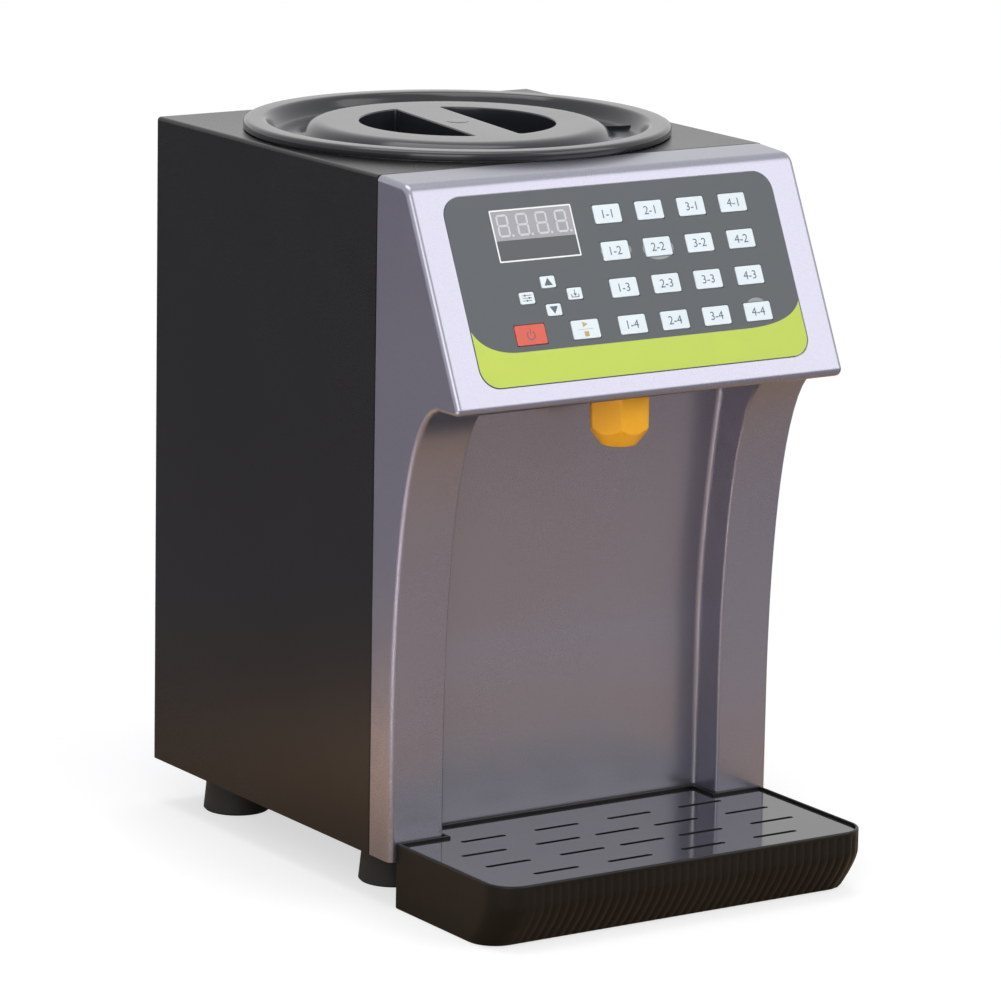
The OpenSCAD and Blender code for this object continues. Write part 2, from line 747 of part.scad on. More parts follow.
module tank_heater() color([0.75, 0.35, 0.2]) at_seam() translate([0, tank_y, tank_floor + heater_lift])
  difference() {
    cylinder(r = tank_r + 0.2 + heater_t, h = heater_h, $fn = 128);
    translate([0, 0, -1]) cylinder(r = tank_r + 0.2, h = heater_h + 2, $fn = 128);
    translate([-15, 0, -1]) cube([30, 2 * tank_r, heater_h + 2]);
  }

module thermostat() color([0.9, 0.9, 0.88]) at_seam() difference() {
  translate([0, tank_y + tank_r - 3, tank_floor + heater_lift + heater_h + 25]) rotate([-90, 0, 0]) {
    cylinder(r = 9, h = 10);
    cylinder(r = 12, h = 5);
  }
  translate([0, tank_y, tank_floor]) cylinder(r = tank_r + 0.2, h = 120, $fn = 128);
}

module tank_outlet() color([0.8, 0.8, 0.82]) at_seam() translate([0, tank_y, 0]) {
  difference() {
    union() {
      translate([0, 0, tank_floor + tank_t + 0.2]) cylinder(r = 11, h = 2);
      translate([0, 0, tank_floor - 12]) cylinder(r = 6.8, h = 14);
      translate([0, 0, tank_floor - 12 - barb_len]) cylinder(r = barb_r, h = barb_len + e);
    }
    translate([0, 0, tank_floor - 60]) cylinder(r = 3, h = 100);
  }
  difference() {
    translate([0, 0, tank_floor - 6.2]) cylinder(r = 12, h = 6, $fn = 6);
    translate([0, 0, tank_floor - 10]) cylinder(r = 6.9, h = 20);
  }
}

// ---------- pump ----------

module at_gear(i) {
  translate([gear_x[i], pump_front, pump_z]) rotate([-90, 0, 0]) children();
}

function involute(base, t) = base * [cos(t) + t * PI / 180 * sin(t), sin(t) - t * PI / 180 * cos(t)];
function roll_angle(base, r) = r <= base ? 0 : sqrt(pow(r / base, 2) - 1) * 180 / PI;
function turn(p, a) = [p[0] * cos(a) - p[1] * sin(a), p[0] * sin(a) + p[1] * cos(a)];

// One flank from base circle to tip, turned so that the tooth is centred on x
function flank() = let (
    tp = roll_angle(base_r, pitch_r),
    p = involute(base_r, tp),
    at_pitch = atan2(p[1], p[0]),
    half_tooth = 90 / gear_teeth - gear_backlash / 2 / pitch_r * 180 / PI)
  [for (i = [0:flank_steps])
    let (r = base_r + (tip_r - base_r) * i / flank_steps)
    turn(involute(base_r, roll_angle(base_r, r)), -at_pitch - half_tooth)];

module gear_shape() {
  f = flank();
  start = atan2(f[0][1], f[0][0]);
  polygon([for (k = [0:gear_teeth - 1]) let (a = 360 * k / gear_teeth)
    each concat(
      [turn([root_r * cos(start), root_r * sin(start)], a)],
      [for (p = f) turn(p, a)],
      [for (i = [flank_steps:-1:0]) turn([f[i][0], -f[i][1]], a)],
      [turn([root_r * cos(start), -root_r * sin(start)], a)])]);
}

module drive_gear() color([0.8, 0.75, 0.6]) at_seam() at_gear(0) {
  translate([0, 0, 0.25]) linear_extrude(gear_w) gear_shape();
  translate([0, 0, -cover_t + 1]) cylinder(r = shaft_r, h = cover_t + pump_d + bracket_t + 9);
}

module driven_gear() color([0.8, 0.75, 0.6]) at_seam() at_gear(1) {
  translate([0, 0, 0.25]) linear_extrude(gear_w) rotate(180 / gear_teeth) gear_shape();
  translate([0, 0, -cover_t + 1]) cylinder(r = shaft_r, h = cover_t + chamber_d + pump_wall - 4 - fit);
}

module pump_screw_places() {
  for (sx = [-1, 1], sz = [-1, 1])
    translate([sx * (pump_hx - 4), pump_front - cover_t, pump_z + sz * (pump_hz - 4)])
      rotate([90, 0, 0]) children();
}

module pump_body() color([0.72, 0.73, 0.75]) at_seam() difference() {
  union() {
    translate([-pump_hx, pump_front, pump_bottom]) cube([2 * pump_hx, pump_d, 2 * pump_hz]);
    translate([0, tank_y, pump_bottom - barb_len]) cylinder(r = barb_r, h = 2 * (pump_hz + barb_len));
  }
  for (i = [0, 1]) at_gear(i) {
    translate([0, 0, -1]) cylinder(r = chamber_r, h = chamber_d + 1);
  }
  at_gear(0) cylinder(r = shaft_r + shaft_fit, h = 80);
  at_gear(1) cylinder(r = shaft_r + shaft_fit, h = chamber_d + pump_wall - 3);
  translate([0, tank_y, pump_bottom - barb_len - 1]) cylinder(r = 3, h = pump_hz + barb_len - 6);
  translate([0, tank_y, pump_z + 7]) cylinder(r = 3, h = pump_hz + barb_len);
  pump_screw_places() cylinder(r = m3_r, h = 40, center = true);
}

module pump_cover() color([0.72, 0.73, 0.75]) at_seam() difference() {
  translate([-pump_hx, pump_front - cover_t, pump_bottom]) cube([2 * pump_hx, cover_t - 0.02, 2 * pump_hz]);
  for (i = [0, 1]) at_gear(i) translate([0, 0, -cover_t + 0.8])
    cylinder(r = shaft_r + shaft_fit, h = cover_t + 1);
  pump_screw_places() cylinder(r = m3_r + 0.2, h = 40, center = true);
}

module motor_bracket() color([0.75, 0.75, 0.77]) at_seam() difference() {
  union() {
    translate([-pump_hx - 6, pump_back, z_base + sheet_t])
      cube([2 * pump_hx + 12, bracket_t, pump_top + 4 - z_base - sheet_t]);
    translate([-pump_hx - 6, pump_back, z_base + sheet_t]) cube([2 * pump_hx + 12, 40, bracket_t]);
  }
  at_gear(0) cylinder(r = shaft_r + 1, h = 80);
}

module pump_motor() color([0.3, 0.3, 0.32]) at_seam() translate([gear_x[0], motor_front, pump_z])
  rotate([-90, 0, 0]) difference() {
    union() {
      cylinder(r = motor_r, h = motor_len);
      translate([0, 0, motor_len - e]) cylinder(r = 8, h = 6);
    }
    translate([0, 0, -1]) cylinder(r = shaft_r + shaft_fit, h = 13);
  }

module inlet_hose() color([0.85, 0.85, 0.82]) at_seam() translate([0, tank_y, pump_top + 1])
  difference() {
    cylinder(r = hose_r, h = tank_floor - 12 - pump_top - 2);
    translate([0, 0, -1]) cylinder(r = hose_bore, h = 200);
  }

module outlet_hose() color([0.85, 0.85, 0.82]) at_seam() hose(rounded_path([
    [0, tank_y, pump_bottom - 1],
    [0, tank_y, hose_low_z],
    [hose_x, hose_y, hose_low_z],
    [hose_x, hose_y, hose_top_z],
    [0, -nozzle_y, hose_top_z],
    [0, -nozzle_y, z_head + wall + 2.2]], tube_bend), hose_r, hose_bore, [0, 1, 0]);

// ---------- nozzle ----------

module nozzle_holder() color([0.9, 0.9, 0.88]) at_seam() translate([0, -nozzle_y, z_head]) difference() {
  union() {
    translate([0, 0, wall + 0.1]) cylinder(r = 14, h = 2);
    translate([0, 0, -14]) cylinder(r = 8, h = 14 + wall + 1);
    translate([0, 0, wall]) cylinder(r = barb_r, h = 10);
  }
  translate([0, 0, -15]) cylinder(r = 3, h = 60);
}

module nozzle() color([0.88, 0.6, 0.17]) at_seam() translate([0, -nozzle_y, z_head - nozzle_h]) difference() {
  intersection() {
    cylinder(r = nozzle_af / 2 / cos(30), h = nozzle_h - fit, $fn = 6);
    rotate_extrude() polygon([[0, 0], [nozzle_end_r, 0], [nozzle_af / 2 / cos(30) + 1, nozzle_slant + 3],
      [nozzle_af / 2 / cos(30) + 1, nozzle_h], [0, nozzle_h]]);
  }
  translate([0, 0, nozzle_h - 15 - fit]) cylinder(r = 8.05, h = 30);
  translate([0, 0, -1]) cylinder(r = 3.5, h = nozzle_h);
}

// ---------- electrics ----------

// Boxed mains supply on four legs
module power_supply() color([0.7, 0.7, 0.72]) at_seam()
  translate([in_w - supply_gap - supply_w, casing_d - supply_back - supply_d, z_base + sheet_t]) {
    difference() {
      translate([0, 0, standoff_h]) cube([supply_w, supply_d, supply_h]);
      for (y = [12:10:supply_d - 12]) translate([8, y, standoff_h + supply_h / 4])
        cube([supply_w - 16, 4, supply_h]);
    }
    for (x = [6, supply_w - 6], y = [8, supply_d - 8]) translate([x, y, 0]) cylinder(r = 3, h = standoff_h + e);
  }

// Board with relays, a capacitor and the cable's plug
module driver_board() color([0.12, 0.3, 0.5]) at_seam() translate([driver_x, driver_front, z_base + sheet_t]) {
  translate([0, 0, standoff_h]) cube([driver_w, driver_d, board_t]);
  for (x = [4, driver_w - 4], y = [6, driver_d - 6]) translate([x, y, 0]) cylinder(r = 3, h = standoff_h + e);
  translate([0, 0, standoff_h + board_t - e]) {
    translate([8, 34, 0]) cube([30, 12, 22]);
    for (x = [8, 32]) translate([x, 58, 0]) cube([18, 16, 16]);
    translate([17, driver_d - 31, 0]) cylinder(r = 9, h = 24);
    translate([ribbon_x - plug_side - driver_x, 2, 0]) cube([ribbon_w + 2 * plug_side, 5, plug_h]);
  }
}

module ribbon_cable() color([0.7, 0.7, 0.7]) {
  at_seam() {
    translate([ribbon_x, ribbon_rise, driver_plug - e]) cube([ribbon_w, driver_front + 5 - ribbon_rise, ribbon_t]);
    translate([ribbon_x, ribbon_rise, driver_plug - e]) cube([ribbon_w, ribbon_t, ribbon_top - driver_plug]);
    translate([ribbon_x, ribbon_front, ribbon_top - ribbon_t])
      cube([ribbon_w, ribbon_rise + ribbon_t - ribbon_front, ribbon_t]);
  }
}

ribbon_t = 1;
plug_side = 1;
driver_x = -in_w + driver_gap;
ribbon_x = driver_x + driver_w - ribbon_w - 3;
ribbon_rise = driver_front - 12;
driver_plug = z_base + sheet_t + standoff_h + board_t + plug_h;
ribbon_top = z_head + 62;
ribbon_front = face_y(ribbon_top, board_top + board_t + plug_h) + 2.5;

module inlet_socket() color([0.08, 0.08, 0.08]) at_seam() translate([mains_x, casing_d, inlet_z])
  rotate([90, 0, 0]) difference() {
    union() {
      translate([0, 0, -screw_head_h]) rounded_plate(inlet_w, inlet_h, 2, screw_head_h - e);
      translate([0, 0, -e]) rounded_plate(inlet_w - 5, inlet_h - 5, 1.5, 24);
    }
    difference() {
      translate([0, 0, -3]) rounded_plate(inlet_w - 8, inlet_h - 8, 1.5, 20);
      for (x = [-7, 7]) translate([x - 1, -1, 1]) cube([2, 4, 20]);
      translate([-1, -5.5, 1]) cube([2, 4, 20]);
    }
  }

module switch_housing() color([0.08, 0.08, 0.08]) at_seam() translate([mains_x, casing_d, switch_z])
  rotate([90, 0, 0]) difference() {
    union() {
      translate([0, 0, -screw_head_h]) rounded_plate(switch_w, switch_h, 2, screw_head_h - e);
      translate([0, 0, -e]) rounded_plate(switch_w - 5, switch_h - 5, 1.5, 20);
    }
    translate([0, 0, -3]) rounded_plate(switch_w - 9, switch_h - 9, 1, 20);
    translate([0, 0, rocker_depth]) rotate([0, 90, 0]) cylinder(r = 1.5 + shaft_fit, h = switch_w - 7, center = true);
  }

module switch_rocker() color([0.8, 0.1, 0.08]) at_seam() translate([mains_x, casing_d, switch_z])
  rotate([90, 0, 0]) translate([0, 0, rocker_depth]) rotate([rocker_swing / 2, 0, 0]) {
    rotate([0, 90, 0]) linear_extrude(switch_w - 10, center = true) rocker_outline();
    rotate([0, 90, 0]) cylinder(r = 1.5, h = switch_w - 7.6, center = true);
  }

// Rocker seen along its pin, its two-sided face towards +X
module rocker_outline() {
  corner = rocker_r * [cos(rocker_corner), sin(rocker_corner)];
  polygon([corner, [corner[0] - 1.2, 0], [corner[0], -corner[1]], [1, -corner[1] - 1], [-4, -4], [-4, 4],
           [1, corner[1] + 1]]);
}

module m3_screws() color([0.75, 0.75, 0.76]) {
  on_face() board_screw_places() screw(m3_r, board_screw_len);
  at_seam() {
    bay_screw_places() screw(m3_r, panel_t + 8);
    pump_screw_places() screw(m3_r, cover_t + 12);
  }
}

// ---------- drip tray ----------

// Tray plan at a height, its front moved back by in_y and all walls moved inwards by w
module tray_slab(z, t, in_y, w) {
  front = tray_reach - in_y - w;
  r = tray_r - w;
  translate([-tray_w / 2 + w, -tray_back - w - 20, z]) cube([tray_w - 2 * w, 20, t]);
  for (sx = [-1, 1]) translate([sx * (tray_w / 2 - tray_r), -front + r, z]) cylinder(r = r, h = t, $fn = 32);
}

module tray_form(w, low) hull() {
  tray_slab(low, 1, tray_under * (1 - low / tray_h), w);
  tray_slab(tray_h * 0.3, 1, tray_under * 0.42, w);
  tray_slab(tray_h - tray_band, tray_band, 0, w);
}

module tray_posts() {
  for (sx = [-1, 1], y = [45, 95])
    translate([sx * 62, -y, tray_wall - e]) cylinder(r = 4, h = grid_z - grid_t - fit - tray_wall + e);
}

module tongue(w, low, high) {
  translate([-tongue_hw + w, -tray_back - w - 5, low]) cube([2 * (tongue_hw - w), tray_back + 5 - tongue_back, high - low]);
}

module drip_tray() color([0.1, 0.1, 0.1]) at_seam() {
  difference() {
    union() {
      tray_form(0, 0);
      tongue(0, 0, tray_h);
    }
    intersection() {
      tray_form(tray_wall, tray_wall);
      translate([-tray_w, -tray_w, 0]) cube([2 * tray_w, 2 * tray_w, grid_z - grid_t - fit + e]);
    }
    tongue(tray_wall, tray_wall, grid_z - grid_t - fit + e);
    grid_space(0);
  }
  tray_posts();
}

// Recess that holds the plate
module grid_space(clear) {
  translate([0, 0, grid_z - grid_t - fit]) linear_extrude(20) grid_outline(tray_wall - 0.7 + clear);
}

module grid_outline(w) {
  front = tray_reach - w;
  r = tray_r - w;
  difference() {
    union() {
      translate([-tray_w / 2 + w, -front + r]) square([tray_w - 2 * w, front - r - tray_back - w]);
      translate([-tray_w / 2 + tray_r, -front]) square([tray_w - 2 * tray_r, tray_r]);
      for (sx = [-1, 1]) translate([sx * (tray_w / 2 - tray_r), -front + r]) circle(r, $fn = 48);
      translate([-tongue_hw + w, -tray_back - 10]) square([2 * (tongue_hw - w), tray_back + 10 - tongue_back - w]);
    }
  }
}

module slot() {
  square([slot_len - slot_w, slot_w], center = true);
  for (sx = [-1, 1]) translate([sx * (slot_len - slot_w) / 2, 0]) circle(slot_w / 2, $fn = 24);
}

module drip_grid() color([0.14, 0.14, 0.15]) at_seam() translate([0, 0, grid_z - grid_t]) linear_extrude(grid_t)
  difference() {
    grid_outline(tray_wall - 0.7 + 0.3);
    for (sx = [-1, 1], row = [0:3]) {
      wide = row == 1 || row == 2;
      for (k = [0, 1])
        translate([sx * ((wide ? 40.5 : 25) + k * slot_pitch_x), -slot_y0 - row * slot_pitch_y]) slot();
    }
    for (row = [1, 2]) translate([0, -slot_y0 - row * slot_pitch_y]) slot();
  }

casing_shell();
rear_panel();
base_plate();
front_fascia();
bay_panel();
control_label();
display_window();
display_module();
control_board();
snap_domes();
m3_screws();
m4_screws();
ribbon_cable();
syrup_tank();
tank_seal();
lid();
tank_heater();
thermostat();
tank_outlet();
inlet_hose();
pump_body();
pump_cover();
drive_gear();
driven_gear();
pump_motor();
motor_bracket();
outlet_hose();
nozzle_holder();
nozzle();
power_supply();
driver_board();
inlet_socket();
switch_housing();
switch_rocker();
feet();
drip_tray();
drip_grid();
dose_key(0, 0);  // key_1_1
dose_key(1, 0);  // key_2_1
dose_key(2, 0);  // key_3_1
dose_key(3, 0);  // key_4_1
dose_key(0, 1);  // key_1_2
dose_key(1, 1);  // key_2_2
dose_key(2, 1);  // key_3_2
dose_key(3, 1);  // key_4_2
dose_key(0, 2);  // key_1_3
dose_key(1, 2);  // key_2_3
dose_key(2, 2);  // key_3_3
dose_key(3, 2);  // key_4_3
dose_key(0, 3);  // key_1_4
dose_key(1, 3);  // key_2_4
dose_key(2, 3);  // key_3_4
dose_key(3, 3);  // key_4_4
key_up();
key_down();
key_set();
key_save();
key_run();
key_power();
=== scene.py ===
"""Looks for the countertop syrup dispenser: eased moulding edges, printed keypad, fluted tray,
turned lid and procedural paints, metals and plastics. Lengths are written in millimetres in the
seam frame (y = 0 at the casing's front edge, z from the floor) and turned into metres at once."""
import bpy, bmesh, json
from math import sin, cos, pi, radians, sqrt, atan2, hypot
from mathutils import Matrix, Vector

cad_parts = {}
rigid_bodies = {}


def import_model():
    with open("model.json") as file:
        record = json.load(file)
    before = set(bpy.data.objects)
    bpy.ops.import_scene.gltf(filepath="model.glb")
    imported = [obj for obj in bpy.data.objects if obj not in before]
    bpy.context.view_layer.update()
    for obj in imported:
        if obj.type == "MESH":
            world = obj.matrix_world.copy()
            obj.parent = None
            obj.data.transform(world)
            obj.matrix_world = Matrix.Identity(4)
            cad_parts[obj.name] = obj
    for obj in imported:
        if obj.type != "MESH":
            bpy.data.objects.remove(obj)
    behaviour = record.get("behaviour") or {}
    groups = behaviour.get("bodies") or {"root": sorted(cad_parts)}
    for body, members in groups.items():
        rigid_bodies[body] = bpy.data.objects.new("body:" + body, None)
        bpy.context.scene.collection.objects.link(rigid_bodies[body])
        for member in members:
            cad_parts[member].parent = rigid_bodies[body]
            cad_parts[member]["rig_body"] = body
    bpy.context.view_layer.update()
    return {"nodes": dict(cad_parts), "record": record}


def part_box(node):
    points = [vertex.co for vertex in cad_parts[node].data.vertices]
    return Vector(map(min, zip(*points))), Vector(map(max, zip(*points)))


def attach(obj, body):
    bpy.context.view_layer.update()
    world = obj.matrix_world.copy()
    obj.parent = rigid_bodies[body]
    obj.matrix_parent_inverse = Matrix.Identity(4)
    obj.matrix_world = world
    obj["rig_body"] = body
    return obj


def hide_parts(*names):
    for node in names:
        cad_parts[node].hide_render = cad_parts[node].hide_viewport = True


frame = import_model()
NODES = frame["nodes"]
SLOT_OF = {s["node"]: s["material_slot"] for s in frame["record"]["subparts"]}
BODY_OF = {n: o["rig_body"] for n, o in NODES.items()}
MM = 0.001
SEAM_GAP = 0.6                                          # the casing's sheet starts this far behind the seam
SEAM_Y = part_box("casing_shell")[0].y / MM - SEAM_GAP    # where the seam frame's y = 0 lies, in mm

# ---------------------------------------------------------------- camera
AZ, EL, ROLL = radians(-33.47), radians(12.31), radians(1.04)
CAMERA_AT = (-1.7636, -2.6576, 0.9021)
back = Vector((sin(AZ) * cos(EL), -cos(AZ) * cos(EL), sin(EL)))
right = (-back).cross(Vector((0, 0, 1))).normalized()
up = right.cross(-back)
rolled_right = right * cos(ROLL) + up * sin(ROLL)
rolled_up = -right * sin(ROLL) + up * cos(ROLL)
cam_data = bpy.data.cameras.new("camera")
cam_data.sensor_width, cam_data.lens = 36.0, 203.24
cam_data.clip_start, cam_data.clip_end = 0.1, 50
cam = bpy.data.objects.new("camera", cam_data)
bpy.context.scene.collection.objects.link(cam)
axes = Matrix((rolled_right, rolled_up, back)).transposed()
cam.matrix_world = Matrix.Translation(CAMERA_AT) @ axes.to_4x4()
bpy.context.scene.camera = cam
bpy.context.scene.view_settings.view_transform = "Standard"

# ---------------------------------------------------------------- materials
MATERIALS = {}


def shader(name):
    m = bpy.data.materials.new(name)
    m.use_nodes = True
    tree = m.node_tree
    return m, tree, tree.nodes["Principled BSDF"]


def link(tree, a, b):
    tree.links.new(a, b)


def noise(tree, coords, scale, detail, stretch=None):
    n = tree.nodes.new("ShaderNodeTexNoise")
    n.inputs["Scale"].default_value = scale
    n.inputs["Detail"].default_value = detail
    if stretch:
        m = tree.nodes.new("ShaderNodeMapping")
        m.inputs["Scale"].default_value = stretch
        link(tree, coords, m.inputs["Vector"])
        coords = m.outputs["Vector"]
    link(tree, coords, n.inputs["Vector"])
    return n.outputs["Fac"]


def ranged(tree, fac, low, high, start=0.3, end=0.7):
    r = tree.nodes.new("ShaderNodeMapRange")
    for i, v in ((1, start), (2, end), (3, low), (4, high)):
        r.inputs[i].default_value = v
    link(tree, fac, r.inputs[0])
    return r.outputs[0]


IOR, FLECK_SCALE = 1.45, 2600


def finish(slot, color, rough, metallic=0.0, mottle=0.06, mottle_scale=14, rough_spread=0.06,
           grain=900, grain_depth=0.02, stretch=None, specular=0.5, coat=0.0, coat_rough=0.1,
           fleck=0.0, transmission=0.0, subsurface=0.0):
    """A moulded, painted or metal surface: two tones that drift over it, a fine grain in the bump,
    roughness that varies with both and, in a metallic paint, flecks. grain_depth is in millimetres."""
    m, tree, bsdf = shader(slot)
    coords = tree.nodes.new("ShaderNodeTexCoord").outputs["Object"]
    drift = noise(tree, coords, mottle_scale, 4.0)
    mix = tree.nodes.new("ShaderNodeMix")
    mix.data_type = "RGBA"
    mix.inputs[6].default_value = (*[c * (1 - mottle) for c in color], 1)
    mix.inputs[7].default_value = (*[min(1, c * (1 + mottle)) for c in color], 1)
    link(tree, ranged(tree, drift, 0, 1), mix.inputs[0])
    tone = mix.outputs[2]
    fine = noise(tree, coords, grain, 2.0, stretch=stretch)
    if fleck:
        cells = tree.nodes.new("ShaderNodeTexVoronoi")
        cells.inputs["Scale"].default_value = FLECK_SCALE
        link(tree, coords, cells.inputs["Vector"])
        light = tree.nodes.new("ShaderNodeMix")
        light.data_type, light.blend_type = "RGBA", "MULTIPLY"
        light.inputs[0].default_value = 1.0
        ramp = tree.nodes.new("ShaderNodeValToRGB")
        ramp.color_ramp.elements[0].color = (1 - fleck,) * 3 + (1,)
        ramp.color_ramp.elements[1].color = (1 + fleck,) * 3 + (1,)
        split = tree.nodes.new("ShaderNodeSeparateColor")
        link(tree, cells.outputs["Color"], split.inputs[0])
        link(tree, split.outputs[0], ramp.inputs[0])
        link(tree, tone, light.inputs[6])
        link(tree, ramp.outputs[0], light.inputs[7])
        tone = light.outputs[2]
    link(tree, tone, bsdf.inputs["Base Color"])
    mixed = tree.nodes.new("ShaderNodeMath")
    mixed.operation = "ADD"
    link(tree, ranged(tree, drift, rough - rough_spread / 2, rough + rough_spread / 2), mixed.inputs[0])
    link(tree, ranged(tree, fine, -rough_spread / 4, rough_spread / 4), mixed.inputs[1])
    link(tree, mixed.outputs[0], bsdf.inputs["Roughness"])
    bump = tree.nodes.new("ShaderNodeBump")
    bump.inputs["Strength"].default_value = 1.0
    bump.inputs["Distance"].default_value = grain_depth * MM
    link(tree, fine, bump.inputs["Height"])
    link(tree, bump.outputs["Normal"], bsdf.inputs["Normal"])
    for socket, value in (("Metallic", metallic), ("IOR", IOR), ("Specular IOR Level", specular),
                          ("Coat Weight", coat), ("Coat Roughness", coat_rough),
                          ("Transmission Weight", transmission), ("Subsurface Weight", subsurface)):
        bsdf.inputs[socket].default_value = value
    if subsurface:
        bsdf.inputs["Subsurface Radius"].default_value = (0.004, 0.002, 0.001)
    MATERIALS[slot] = m


# what several finishes share
PRINT_GRAIN = dict(grain=2600, grain_depth=0.004)
INK_GRAIN = dict(grain=2600, grain_depth=0.003)
SILVER_PAINT = dict(metallic=0.85, mottle=0.02, grain=3500, grain_depth=0.002, coat_rough=0.12)
finish("casing_black", (0.006, 0.006, 0.0066), 0.26, mottle=0.25, mottle_scale=5, grain=1500,
       grain_depth=0.016, specular=0.36)
finish("fascia_silver", (0.305, 0.302, 0.366), 0.28, mottle_scale=6, rough_spread=0.03, fleck=0.05,
       coat=0.2, **SILVER_PAINT)
finish("panel_silver", (0.32, 0.312, 0.365), 0.28, mottle_scale=5, rough_spread=0.02, fleck=0.04,
       coat=0.15, **SILVER_PAINT)
finish("label_print", (0.07, 0.08, 0.09), 0.42, mottle=0.05, mottle_scale=25, **PRINT_GRAIN)
# painted highlight: a lighter grey for the label's wrinkles over the snap domes, where they catch light
finish("label_painted_highlight", (0.26, 0.275, 0.29), 0.36, mottle=0.12, mottle_scale=90, **PRINT_GRAIN)
finish("label_lime", (0.49, 0.62, 0.07), 0.42, mottle=0.03, mottle_scale=25, **PRINT_GRAIN)
finish("print_white", (0.88, 0.9, 0.92), 0.42, mottle=0.02, **INK_GRAIN)
finish("print_dark", (0.10, 0.12, 0.14), 0.5, mottle=0.05, **INK_GRAIN)
finish("print_amber", (0.52, 0.38, 0.16), 0.5, mottle=0.05, **INK_GRAIN)
finish("window_tint", (0.068, 0.075, 0.083), 0.42, mottle=0.05, grain=2600, grain_depth=0.002)
finish("digit_field", (0.33, 0.33, 0.355), 0.3, mottle=0.05, mottle_scale=120, **INK_GRAIN)
finish("digit_segment", (0.60, 0.60, 0.64), 0.35, mottle=0.04, mottle_scale=160, **INK_GRAIN)
finish("display_black", (0.02, 0.02, 0.02), 0.4, mottle=0.1)
finish("board_green", (0.03, 0.20, 0.08), 0.4, mottle=0.12, mottle_scale=60, grain=700, coat=0.3)
finish("board_blue", (0.03, 0.10, 0.28), 0.4, mottle=0.12, mottle_scale=60, grain=700, coat=0.3)
finish("bright_steel", (0.62, 0.62, 0.63), 0.28, metallic=1, mottle=0.08, mottle_scale=40, grain=1600)
finish("tank_steel", (0.66, 0.66, 0.67), 0.30, metallic=1, mottle=0.05, grain=500, grain_depth=0.01,
       stretch=(1, 1, 12))
finish("cable_grey", (0.5, 0.5, 0.5), 0.5, mottle=0.06, grain=500, grain_depth=0.1, stretch=(14, 1, 1))
finish("seal_silicone", (0.8, 0.8, 0.78), 0.55, mottle=0.05, subsurface=0.1)
finish("heater_silicone", (0.58, 0.18, 0.07), 0.6, mottle=0.1, grain=700, grain_depth=0.1)
finish("hose_silicone", (0.78, 0.78, 0.72), 0.32, mottle=0.05, transmission=0.25, subsurface=0.1)
finish("plastic_ivory", (0.8, 0.79, 0.72), 0.4, mottle=0.04, subsurface=0.05)
finish("plastic_black", (0.016, 0.016, 0.017), 0.35, mottle=0.15, grain=900, grain_depth=0.03)
finish("pump_alloy", (0.60, 0.61, 0.62), 0.42, metallic=0.9, mottle=0.08, mottle_scale=50, grain=1100,
       grain_depth=0.04)
finish("motor_grey", (0.09, 0.09, 0.1), 0.38, metallic=0.4, mottle=0.1, grain=900)
finish("gear_brass", (0.70, 0.52, 0.22), 0.28, metallic=1, mottle=0.08, mottle_scale=80)
finish("nozzle_orange", (0.98, 0.47, 0.03), 0.40, mottle=0.06, mottle_scale=60, grain=1400, grain_depth=0.02,
       subsurface=0.15, specular=0.25)
finish("foot_rubber", (0.034, 0.033, 0.033), 0.62, mottle=0.15, grain=1200, grain_depth=0.05, specular=0.35)
finish("lid_black", (0.017, 0.0182, 0.022), 0.16, mottle=0.12, mottle_scale=12, rough_spread=0.04, grain=1800,
       grain_depth=0.008, specular=0.55)
finish("tray_black", (0.008, 0.0072, 0.006), 0.34, mottle=0.2, mottle_scale=12, grain=1500,
       grain_depth=0.02, specular=0.24)
finish("grid_gloss", (0.022, 0.022, 0.024), 0.09, mottle=0.15, mottle_scale=14, grain=1500, grain_depth=0.003,
       rough_spread=0.03, specular=0.9)
finish("rocker_red", (0.58, 0.03, 0.02), 0.3, mottle=0.08, coat=0.2)
finish("key_white", (0.74, 0.83, 0.87), 0.42, mottle=0.02, mottle_scale=40, **PRINT_GRAIN)
finish("key_red", (0.68, 0.10, 0.06), 0.42, mottle=0.04, mottle_scale=60, **PRINT_GRAIN)

for node, obj in NODES.items():
    obj.data.materials.clear()
    obj.data.materials.append(MATERIALS[SLOT_OF[node]])

# ---------------------------------------------------------------- mesh helpers
PLACE = Matrix.Translation((0, SEAM_Y * MM, 0)) @ Matrix.Scale(MM, 4)    # seam frame, mm
SLOPE = radians(25.5)                                                    # of the head's face
FACE_ORIGIN = (0, -29, 412.5)          # the label, keys and display are measured down the face from here
FACE = PLACE @ Matrix.Translation(FACE_ORIGIN) @ Matrix.Rotation(pi / 2 - SLOPE, 4, "X")
FACE_IN = FACE.inverted()
PLACE_IN = PLACE.inverted()


def piece(name, bm, material, place, body="body", replaces=(), sharp=35):
    """The bmesh, in millimetres in the frame that place gives, as an object that rides on a body.
    It takes the material named."""
    bmesh.ops.transform(bm, matrix=place, verts=bm.verts)
    bmesh.ops.recalc_face_normals(bm, faces=bm.faces)
    mesh = bpy.data.meshes.new(name)
    bm.to_mesh(mesh)
    bm.free()
    mesh.shade_smooth()
    mesh.set_sharp_from_angle(angle=radians(sharp))
    mesh.materials.append(MATERIALS[material])
    obj = bpy.data.objects.new(name, mesh)
    bpy.context.scene.collection.objects.link(obj)
    flat_shading_kept(obj, name)
    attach(obj, body)
    if replaces:
        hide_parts(*replaces)


